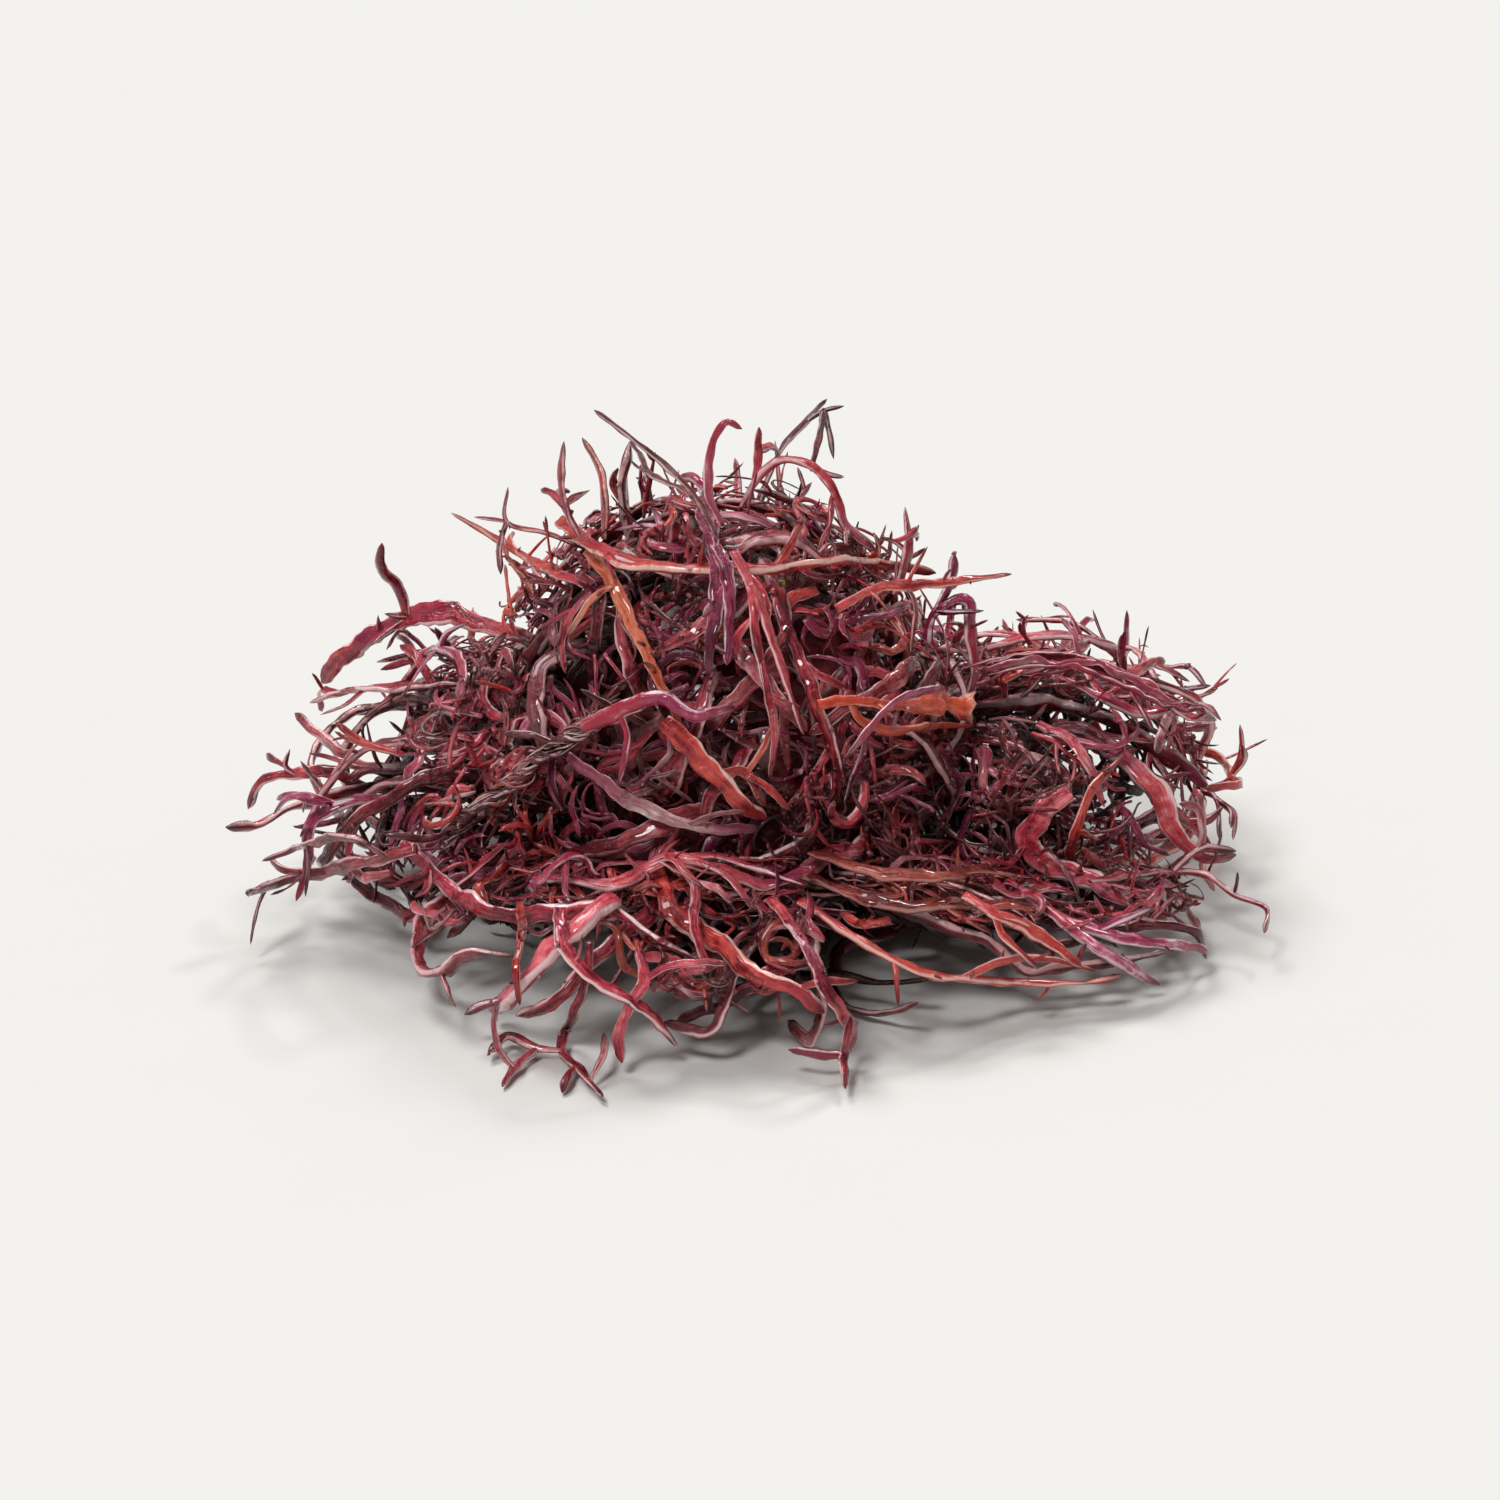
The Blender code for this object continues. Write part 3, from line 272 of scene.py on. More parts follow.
# The shown fronds, in the order in which they are laid over one another.
SHOWN = [
    Shown("taupe_ribbon", "taupe", 1, [
        Axis(2.6, [(-18.2, 15.9), (-13.7, 12.6), (-9.9, 10.3), (-5.1, 8.8), (1.0, 8.6)]),
    ]),
    Shown("amber_strip", "amber", 1, [
        Axis(2.3, [(-16.3, 36.4), (-14.8, 34.8), (-13.4, 32.4), (-11.6, 28.9), (-10.3, 25.6),
            (-8.3, 22.0), (-6.8, 17.6)]),
    ]),
    Shown("rose_blade", "brick", 2, [
        Axis(3.6, [(-8.6, 19.4), (-5.4, 16.2), (-3.3, 13.6), (-1.0, 11.4), (1.6, 9.6)]),
        Axis(1.6, [(-4.5, 15.0), (-2.2, 15.0), (0.4, 13.4), (1.6, 10.8)]),
    ]),
    Shown("dark_rope", "umber", 4, [
        Axis(2.5, [(-9.8, 21.6), (-15.0, 19.4), (-19.9, 16.6), (-23.2, 13.8), (-27.9, 9.8),
            (-33.2, 6.0)]),
    ]),
    Shown("grape_band", "wine", 1, [
        Axis(2.4, [(-16.7, 18.7), (-13.0, 20.5), (-9.7, 21.7), (-7.6, 21.1), (-5.2, 20.0),
            (-1.4, 20.8)]),
    ]),
    Shown("ridge_arm", "brick", 2, [
        Axis(2.5, [(-19.0, 39.4), (-15.1, 36.6), (-10.4, 35.0), (-3.8, 34.6), (1.2, 34.6),
            (8.9, 35.4), (14.7, 34.9), (18.6, 34.2)]),
    ]),
    Shown("red_arm", "brick", 1, [
        Axis(2.1, [(8.6, 30.6), (12.0, 32.4), (16.0, 33.1), (20.1, 33.3), (23.3, 33.7),
            (26.2, 34.1)], (-12, -5)),
    ]),
    Shown("centre_bundle", "wine", 2, [
        Axis(2.4, [(-4.5, 43.4), (-4.4, 39.5), (-3.5, 36.0), (-3.5, 31.5), (-3.8, 27.5),
            (-4.2, 23.8)]),
        Axis(2.2, [(-3.2, 36.0), (-1.9, 32.5), (-2.1, 28.5), (-2.3, 25.0)]),
    ]),
    Shown("long_fall", "maroon", 2, [
        Axis(1.8, [(-1.6, 36.4), (0.2, 32.5), (1.6, 29.3), (2.9, 25.4), (4.1, 21.6), (5.4, 18.0)]),
        Axis(1.4, [(0.4, 32.0), (0.9, 25.8), (2.0, 21.4), (2.4, 17.5), (2.0, 13.5)]),
    ]),
    Shown("purple_ribbon", "wine", 2, [
        Axis(2.2, [(2.4, 32.4), (4.6, 26.4), (6.2, 22.4), (7.4, 19.2), (8.7, 15.6), (8.8, 11.6)]),
    ]),
    Shown("trumpet", "rust", 0, [
        Axis(3.2, [(6.8, 21.0), (10.5, 21.5), (14.6, 20.9), (18.4, 21.2),
            (22.3, 20.8)], flared=True),
        Axis(2.2, [(9.4, 20.4), (13.4, 18.5), (17.8, 18.9), (22.4, 18.9)]),
    ]),
    Shown("cross_strand", "wine", 1, [
        Axis(1.3, [(19.4, 22.6), (16.4, 22.2), (13.6, 20.6), (11.4, 18.0), (9.4, 15.4)]),
    ]),
    Shown("magenta_knot", "wine", 1, [
        Axis(2.1, [(17.6, 27.0), (18.7, 30.6), (21.6, 31.4), (22.3, 28.6), (21.4, 26.4),
            (22.8, 23.8), (21.6, 21.2)], (4, 0)),
        Axis(1.6, [(19.0, 31.0), (20.1, 33.6), (20.4, 36.2)], (3, 5)),
    ]),
    Shown("left_horn", "brick", 1, [
        Axis(1.9, [(-16.4, 33.0), (-19.6, 34.3), (-23.1, 36.1), (-26.3, 38.2), (-29.9, 40.2)]),
    ]),
    Shown("loop_strand", "maroon", 1, [
        Axis(1.3, [(-16.4, 36.6), (-20.3, 38.2), (-23.8, 39.0), (-25.0, 40.6),
            (-24.2, 42.8)], (4, 2)),
        Axis(0.9, [(-24.4, 39.4), (-27.6, 39.8)], (3, 4)),
    ]),
    Shown("left_spike", "maroon", 1, [
        Axis(1.7, [(-17.2, 38.0), (-18.6, 41.0), (-18.9, 43.9), (-18.6, 47.4)], (6, 3)),
        Axis(1.4, [(-18.7, 41.6), (-20.9, 42.6)], (5, 8)),
        Axis(1.2, [(-18.6, 41.2), (-16.0, 42.5)], (5, 1)),
    ]),
    Shown("curved_finger", "brick", 0, [
        Axis(1.7, [(-14.6, 37.6), (-14.5, 41.0), (-14.8, 43.6), (-15.4, 45.6),
            (-16.8, 47.7)], (5, 9)),
    ]),
    Shown("cone_blade", "maroon", 1, [
        Axis(3.4, [(-12.0, 37.6), (-12.6, 40.8), (-12.7, 43.6), (-12.0, 47.4)], (9, 12)),
    ]),
    Shown("crown_wires", "umber", 1, [
        Axis(0.9, [(-3.4, 38.0), (-5.6, 42.0), (-8.8, 45.3), (-12.3, 48.0),
            (-15.6, 50.5)], (5, -2)),
        Axis(0.8, [(-5.8, 42.2), (-9.8, 44.0), (-11.2, 46.4), (-12.0, 47.4)], (2, 6)),
    ]),
    Shown("crown_curl", "wine", 2, [
        Axis(1.3, [(-2.8, 39.0), (-4.3, 43.0), (-3.9, 46.6), (-2.5, 49.3), (-1.0, 50.3),
            (-0.8, 48.6)], (6, 4)),
    ]),
    Shown("crown_fork", "umber", 2, [
        Axis(1.1, [(0.6, 40.6), (2.6, 45.6), (4.4, 48.2), (6.2, 50.0), (7.7, 51.6)], (8, 13)),
        Axis(0.8, [(6.4, 50.2), (9.4, 50.9)], (12, 9)),
    ]),
    Shown("crown_spray", "maroon", 3, [
        Axis(1.8, [(-1.0, 40.6), (1.4, 44.6), (4.2, 45.6), (6.8, 44.4), (8.6, 42.0), (9.6, 39.0),
            (12.6, 36.4)], (6, 0)),
        Axis(1.6, [(5.6, 44.6), (9.4, 43.8)], (3, 8)),
        Axis(1.5, [(0.6, 43.6), (0.9, 48.8)], (6, 2)),
    ]),
    Shown("right_spike", "maroon", 1, [
        Axis(1.6, [(14.4, 32.0), (15.6, 35.4), (15.8, 38.0), (15.5, 40.8)], (5, 8)),
        Axis(1.2, [(15.7, 37.0), (13.0, 37.7)], (6, 2)),
        Axis(1.0, [(15.7, 37.6), (16.9, 39.0)], (6, 10)),
    ]),
    Shown("right_ridge", "brick", 2, [
        Axis(3.6, [(21.0, 24.0), (27.6, 25.6), (34.0, 25.0), (39.4, 22.8), (43.2, 20.8),
            (46.4, 21.0)], (20, 9)),
        Axis(1.8, [(37.4, 23.4), (39.0, 24.6), (41.4, 25.6)], (13, 18)),
        Axis(1.5, [(41.0, 21.6), (44.0, 19.8), (46.6, 19.6)], (10, 14)),
    ]),
    Shown("right_middle", "maroon", 3, [
        Axis(3.4, [(19.6, 20.4), (26.4, 21.4), (33.0, 20.6), (38.8, 18.0), (43.2, 14.8),
            (46.0, 12.6)], (13, 3)),
        Axis(1.1, [(45.0, 13.4), (47.2, 10.6), (47.0, 7.4)], (4, 1)),
    ]),
    Shown("right_curtain", "maroon", 4, [
        Axis(3.2, [(30.6, 19.0), (35.6, 17.0), (39.4, 13.6), (42.4, 9.6), (43.6, 6.2),
            (48.6, 6.0)], (9, 1)),
        Axis(1.8, [(42.0, 10.0), (45.6, 8.6)], (4, 8)),
    ]),
    Shown("crimson_leaf", "wine", 1, [
        Axis(3.7, [(32.0, 12.2), (29.8, 10.8), (27.8, 8.8), (28.0, 6.4), (31.4, 4.4), (35.0, 3.0),
            (38.0, 1.0)]),
    ]),
    Shown("rust_fingers", "rust", 2, [
        Axis(3.0, [(5.4, 4.0), (10.7, 1.9), (15.2, 0.9), (20.3, 1.1), (27.6, 1.0)]),
        Axis(1.8, [(18.0, 1.0), (21.0, -0.2), (24.2, -1.8)]),
    ]),
    Shown("upper_finger", "rust", 1, [
        Axis(2.7, [(6.0, 6.2), (12.0, 4.4), (16.2, 3.9), (20.3, 4.0), (24.0, 4.8)]),
    ]),
    Shown("rust_tail", "brick", 2, [
        Axis(2.0, [(21.4, 2.0), (25.4, -0.4), (28.8, -1.8), (31.0, -3.4), (33.2, -5.2)]),
    ]),
    Shown("ground_loop", "brick", 0, [
        Axis(1.9, [(5.0, 1.4), (8.6, -1.0), (13.0, -3.7), (17.4, -5.8), (23.0, -6.5), (28.0, -6.7),
            (33.0, -6.8), (37.4, -6.0)]),
        Axis(1.2, [(21.0, -6.0), (25.4, -4.6), (30.0, -4.4), (34.6, -5.6)]),
    ]),
    Shown("plum_toe", "wine", 1, [
        Axis(2.0, [(26.6, 2.6), (31.0, -0.2), (33.8, -2.8), (37.2, -4.8), (41.0, -7.0)]),
        Axis(1.9, [(31.6, -0.4), (34.6, -1.6), (38.6, -2.6), (42.0, -2.8), (45.8, -3.6)]),
    ]),
    Shown("hooked_tip", "umber", 1, [
        Axis(1.5, [(34.0, 3.4), (40.0, 4.2), (44.6, 4.4), (47.6, 2.4), (50.4, 1.2), (52.0, 0.2),
            (51.4, -1.8)]),
        Axis(1.9, [(41.0, 4.2), (45.6, 6.8), (48.6, 6.4)]),
    ]),
    Shown("front_cord", "brick", 2, [
        Axis(2.5, [(-34.6, 7.4), (-31.3, 3.8), (-28.1, 1.3), (-24.2, 0.0), (-19.5, 0.2),
            (-14.7, 0.8), (-12.1, -0.5), (-8.9, -2.7), (-5.8, -4.2)]),
    ]),
    Shown("front_flare", "brick", 2, [
        Axis(3.0, [(-9.6, 4.6), (-8.2, 1.4), (-6.2, -1.0), (-2.6, -3.0), (0.6, -6.2), (4.5, -7.4),
            (7.4, -9.8)]),
    ]),
    Shown("front_leg", "maroon", 2, [
        Axis(1.9, [(2.0, 1.6), (4.6, -1.6), (6.0, -4.0), (7.6, -7.4), (9.6, -10.2), (10.3, -12.0),
            (9.4, -14.4), (9.5, -17.4)]),
    ]),
    Shown("red_bud", "brick", 1, [
        Axis(3.2, [(-13.6, 1.6), (-17.0, -1.0), (-20.2, -3.8), (-22.7, -6.8), (-25.7, -9.6)]),
    ]),
    Shown("orange_slip", "rust", 0, [
        Axis(1.4, [(-23.0, 1.2), (-22.8, -1.8), (-23.4, -5.2), (-23.0, -9.0)]),
    ]),
    Shown("pink_leg", "brick", 1, [
        Axis(2.2, [(-19.0, 0.6), (-18.6, -3.0), (-16.4, -6.0), (-12.8, -7.9), (-10.0, -9.9),
            (-7.2, -13.2)]),
        Axis(1.8, [(-10.6, -9.2), (-12.4, -10.6), (-13.6, -12.6), (-12.8, -14.8)]),
        Axis(2.0, [(-10.8, -9.2), (-10.4, -6.6), (-11.4, -3.4)]),
    ]),
    Shown("front_sprig", "umber", 1, [
        Axis(1.5, [(-16.0, -2.6), (-16.6, -7.6), (-18.2, -10.9), (-19.0, -13.2), (-17.6, -14.9),
            (-16.4, -16.2), (-14.7, -18.2)]),
        Axis(1.8, [(-18.8, -12.6), (-21.9, -13.3), (-24.2, -12.0), (-26.2, -13.9)]),
        Axis(1.3, [(-22.4, -13.2), (-23.4, -15.0), (-24.8, -17.2)]),
        Axis(1.3, [(-16.6, -16.0), (-14.9, -14.6), (-14.6, -11.8)]),
        Axis(1.2, [(-18.0, -14.6), (-18.8, -17.8)]),
    ]),
    Shown("left_claw", "maroon", 2, [
        Axis(2.3, [(-31.0, 12.4), (-36.0, 13.0), (-40.7, 12.2), (-46.1, 10.7), (-50.2, 8.6),
            (-52.4, 8.8)], (6, -5)),
        Axis(1.9, [(-37.0, 13.0), (-41.4, 14.2), (-46.4, 14.0), (-49.0, 13.4),
            (-50.2, 10.6)], (3, 6)),
        Axis(1.2, [(-46.8, 13.8), (-46.0, 16.6)], (2, 6)),
    ]),
    Shown("left_foot", "wine", 2, [
        Axis(2.1, [(-34.0, 11.6), (-39.0, 11.4), (-43.6, 10.0), (-43.9, 6.2),
            (-45.4, 1.4)], (0, -9)),
    ]),
    Shown("left_toe", "umber", 1, [
        Axis(2.0, [(-33.4, 6.6), (-38.8, 5.2), (-44.0, 4.0), (-50.4, 2.2)]),
        Axis(1.6, [(-36.0, 6.0), (-40.0, 7.8), (-44.4, 7.0), (-48.8, 5.4)]),
    ]),
    Shown("left_back_blade", "wine", 2, [
        Axis(3.8, [(-21.5, 27.2), (-28.2, 29.6), (-33.0, 30.2), (-36.6, 28.4), (-40.2, 26.4),
            (-42.8, 23.2)], (9, 21)),
        Axis(2.4, [(-34.4, 30.0), (-34.9, 32.6), (-36.8, 34.0), (-36.8, 37.2)], (17, 11)),
    ]),
    Shown("left_back_prongs", "maroon", 1, [
        Axis(3.0, [(-28.6, 23.2), (-34.0, 22.8), (-39.6, 22.6), (-44.0, 21.2)], (8, 18)),
        Axis(1.5, [(-37.0, 22.6), (-40.6, 21.0), (-43.0, 20.0)], (15, 12)),
        Axis(1.5, [(-32.0, 22.8), (-33.6, 26.4), (-35.0, 27.0)], (12, 17)),
    ]),
    Shown("left_back_tip", "umber", 2, [
        Axis(1.9, [(-33.0, 15.0), (-38.0, 14.6), (-41.2, 16.4), (-43.0, 18.0),
            (-45.5, 20.2)], (4, 13)),
    ]),
]


def scaled(offset: Vector, half: Vector) -> Vector:
    """Gives an offset as shares of the half-sizes of an ellipsoid."""
    return Vector((offset.x / half.x, offset.y / half.y, offset.z / half.z))


def ellipsoid_gap(place: Vector, centre: Vector, half: Vector) -> float:
    """Measures how far outside an ellipsoid a place is, negative inside."""
    offset = place - centre
    return offset.length * (1 - 1 / max(1e-3, scaled(offset, half).length))


def skin_gap(place: Vector, mounds: Mounds = MOUNDS) -> float:
    """Measures how far outside the skin of some mounds a place is, negative inside."""
    return min(ellipsoid_gap(place, centre, half) for centre, half in mounds)


def outward(place: Vector, mounds: Mounds = MOUNDS) -> Vector:
    """Gives the way out at a place, square to the skin of the nearest of some mounds."""
    centre, half = min(mounds, key=lambda mound: ellipsoid_gap(place, *mound))
    return scaled(scaled(place - centre, half), half).normalized()


def on_sphere(rng: random.Random, lowest: float, highest: float) -> Vector:
    """Draws a place on the unit sphere between two heights."""
    turn = rng.uniform(0, math.tau)
    height = rng.uniform(lowest, highest)
    level = math.sqrt(1 - height * height)
    return Vector((level * math.cos(turn), level * math.sin(turn), height))


def search_tree(places: Sequence[Sequence[float]]) -> KDTree:
    """Makes a tree that finds the nearest of places, numbered in their order."""
    tree = KDTree(len(places))
    for number, place in enumerate(places):
        tree.insert(place, number)
    tree.balance()
    return tree


class FrontView:
    """The view from the front that the routes are drawn in, and that the camera takes."""

    rising = Vector((0, math.sin(SIGHT_ELEVATION), math.cos(SIGHT_ELEVATION)))
    away = Vector((0, math.cos(SIGHT_ELEVATION), -math.sin(SIGHT_ELEVATION)))
    aim = Vector((0, 0, AIM_RISE / math.cos(SIGHT_ELEVATION)))
    eye = aim - away * SIGHT_DISTANCE

    def way(self, sight: Vector) -> Vector:
        """Gives the way that the eye looks at (across, rise, anything)."""
        target = self.aim + Vector((sight.x, 0, 0)) + self.rising * (sight.y - AIM_RISE)
        return (target - self.eye).normalized()

    def place(self, sight: Vector) -> Vector:
        """Gives the place that the eye sees at (across, rise, reach)."""
        return self.eye + self.way(sight) * sight.z

    def sight(self, place: Vector) -> Vector:
        """Gives where the eye sees a place, as (across, rise, reach)."""
        offset = place - self.eye
        scale = SIGHT_DISTANCE / offset.dot(self.away)
        rise = offset.dot(self.rising) * scale + AIM_RISE
        return Vector((offset.x * scale, rise, offset.length))

    def reach(self, sight: Vector, depth: float | None, lowest: float) -> float:
        """Measures how far away a point of a route is.

        Args:
            sight: where it is seen.
            depth: how far behind the heap's middle it lies, None on the heap's skin, or infinity
                on the table.
            lowest: the least height above the table.

        Returns:
            The distance from the eye.
        """
        way = self.way(sight)
        to_table = (lowest - self.eye.z) / way.z
        if depth == math.inf:
            return to_table
        if depth is not None:
            return min((depth - self.eye.y) / way.y, to_table)
        hits = []
        misses = []
        for centre, half in MOUNDS:
            start = scaled(self.eye - centre, half)
            step = scaled(way, half)
            nearest = -start.dot(step) / step.dot(step)
            miss = (start + step * nearest).length
            misses.append(((miss - 1) * min(half), nearest))
            if miss < 1:
                hits.append(nearest - math.sqrt((1 - miss * miss) / step.dot(step)))
        return min(min(hits) if hits else min(misses)[1], to_table)


VIEW = FrontView()


@dataclass
class Ring:
    """One cross-section of a strand: its middle, its wide and flat ways, and its half-sizes."""

    middle: Vector
    side: Vector
    face: Vector
    width: float
    thickness: float


@dataclass
class Strand:
    """One axis as it is laid: its rings, and its tip or, where it opens into a mouth, None."""

    rings: list[Ring]
    tip: Vector | None

    def ends(self) -> list[tuple[Ring, Ring]]:
        """Gives each stretch of the strand, as the rings at its two ends."""
        rings = list(self.rings)
        if self.tip:
            last = rings[-1]
            rings.append(Ring(self.tip, last.side, last.face, TIP_HALF, TIP_HALF))
        return list(zip(rings, rings[1:]))

    def balls(self) -> list[list[Ball]]:
        """Gives balls that cover the strand, as (middle, radius), stretch by stretch."""
        return [balls_between(start, end) for start, end in self.ends()]


@dataclass
class Frond:
    """A frond as it is laid, with the colour of its node."""

    name: str
    colour: str
    strands: list[Strand] = field(default_factory=list)


def balls_between(start: Ring, end: Ring) -> list[Ball]:
    """Covers a stretch of a strand with balls, three across its width.

    Args:
        start: the ring at one end.
        end: the ring at the other end.

    Returns:
        The balls, as (middle, radius).
    """
    steps = max(1, math.ceil((end.middle - start.middle).length / SAMPLE_STEP))
    balls = []
    for step in range(steps + 1):
        share = step / steps
        middle = start.middle.lerp(end.middle, share)
        side = start.side.lerp(end.side, share)
        radius = start.thickness + (end.thickness - start.thickness) * share
        reach = max(0.0, start.width + (end.width - start.width) * share - radius)
        balls += [(middle + side * (reach * across), radius) for across in (-1, 0, 1)]
    return balls


class Room:
    """The space that is taken: the strands laid so far, and the heart's core."""

    def __init__(self) -> None:
        """Starts with nothing but the core."""
        self.balls: list[Ball] = []
        self.tree = search_tree([])
        self.largest = 0.0

    def take(self, strand: Strand) -> None:
        """Takes the space of a strand."""
        self.balls += [ball for stretch in strand.balls() for ball in stretch]
        self.largest = max(radius for _, radius in self.balls)
        self.tree = search_tree([middle for middle, _ in self.balls])

    def take_all(self, frond: Frond) -> None:
        """Takes the space of each strand of a frond."""
        for strand in frond.strands:
            self.take(strand)

    def clear(
        self, balls: Sequence[Ball], root: Vector | None = None, root_reach: float = 0.0
    ) -> bool:
        """Tells whether balls are above the table and clear of what is taken.

        Args:
            balls: the balls, as (middle, radius).
            root: a place by which nothing but the table is tested.
            root_reach: how far from the root that holds.

        Returns:
            Whether all of them are clear.
        """
        for middle, radius in balls:
            if middle.z < radius + TABLE_GAP:
                return False
            if root and (middle - root).length < root_reach:
                continue
            if ellipsoid_gap(middle, CORE_CENTRE, CORE_HALF) < CORE_RELIEF + radius + GAP:
                return False
            for _, number, distance in self.tree.find_range(middle, radius + self.largest + GAP):
                if distance < radius + self.balls[number][1] + GAP:
                    return False
        return True

    def openness(self, place: Vector) -> float:
        """Measures how far a place is from what is taken."""
        return self.tree.find(place)[2] if self.balls else math.inf


def half_widths(count: int, width: float, phase: float, flared: bool = False) -> list[float]:
    """Gives the half-widths of a strand's rings: a neck, beads, and a tail or a mouth.

    Args:
        count: how many rings it has.
        width: its width at its widest.
        phase: where its beads start.
        flared: whether it opens into a mouth.

    Returns:
        The half-width of each ring.
    """
    halves = []
    for number in range(count):
        share = number / count
        neck = ROOT_NECK + (1 - ROOT_NECK) * min(1.0, share / NECK_SHARE)
        late = max(0.0, share - TAIL_SHARE) / (1 - TAIL_SHARE)
        end = 1 + MOUTH_FLARE * late if flared else 1 - TAIL_LOSS * late
        bead = 1 - BEAD_DEPTH * (0.5 - 0.5 * math.cos(phase + number * BEAD_TURN))
        halves.append(max(THINNEST, width * neck * end * bead) / 2)
    return halves


def framed(points: Sequence[Vector], halves: Sequence[float], twist: float) -> Strand:
    """Lays a strand along points, with its flat side to the heap's outside where it starts.

    Args:
        points: its places. The last is its tip if there are more of them than half-widths.
        halves: the half-width of each ring.
        twist: how far it turns from ring to ring, in radians.

    Returns:
        The strand.
    """
    rings = []
    before = (points[1] - points[0]).normalized()
    face = outward(points[0])
    for number, half in enumerate(halves):
        ahead = points[min(number + 1, len(points) - 1)]
        along = (ahead - points[max(0, number - 1)]).normalized()
        face = before.rotation_difference(along) @ face
        out = outward(points[number])
        face = face.lerp(out if out.dot(face) > 0 else -out, 1 - FACE_KEPT)
        face = face - along * face.dot(along)
        if face.length < EDGE_ON:
            face = along.orthogonal()
        face = face.normalized()
        before = along
        turned = Quaternion(along, twist * number) @ face
        thickness = max(half * FLATNESS, THINNEST / 2)
        rings.append(Ring(points[number].copy(), turned.cross(along), turned, half, thickness))
    return Strand(rings, points[-1].copy() if len(points) > len(halves) else None)


def smoothed(values: list[float], times: int) -> list[float]:
    """Eases each value of a route towards its neighbours.

    Args:
        values: the values.
        times: how many times they are eased.

    Returns:
        The eased values, with the two ends as they were.
    """
    for _ in range(times):
        inner = [
            (before + 2 * value + after) / 4
            for before, value, after in zip(values, values[1:], values[2:])
        ]
        values = [values[0], *inner, values[-1]]
    return values


def smooth_route(route: Sequence[tuple[float, float]], steps: int) -> list[Vector]:
    """Gives points along the smooth curve through a route's own points.

    Args:
        route: its points, as (across, rise).
        steps: how many points to put between two of its own.

    Returns:
        The points, as (across, rise, 0).
    """
    own = [Vector((across, rise, 0.0)) for across, rise in route]
    own = [own[0] * 2 - own[1], *own, own[-1] * 2 - own[-2]]
    points = []
    for before, start, end, after in zip(own, own[1:], own[2:], own[3:]):
        for step in range(steps):
            share = step / steps
            bend = before * 2 - start * 5 + end * 4 - after
            rush = start * 3 - before - end * 3 + after
            points.append(
                (start * 2 + (end - before) * share + bend * share**2 + rush * share**3) / 2
            )
    return [*points, own[-2]]


def evenly(sights: Sequence[Vector], step: float) -> list[Vector]:
    """Gives points of a route at even steps along its length in space.

    Args:
        sights: the route's points, as (across, rise, reach).
        step: the length of a step.

    Returns:
        The points, of two stretches or more.
    """
    places = [VIEW.place(sight) for sight in sights]
    lengths = [0.0]
    for start, end in zip(places, places[1:]):
        lengths.append(lengths[-1] + (end - start).length)
    count = max(2, round(lengths[-1] / step))
    points = []
    stretch = 0
    for number in range(count + 1):
        wanted = lengths[-1] * number / count
        while stretch < len(lengths) - 2 and lengths[stretch + 1] < wanted:
            stretch += 1
        share = (wanted - lengths[stretch]) / (lengths[stretch + 1] - lengths[stretch])
        points.append(sights[stretch].lerp(sights[stretch + 1], min(1.0, share)))
    return points


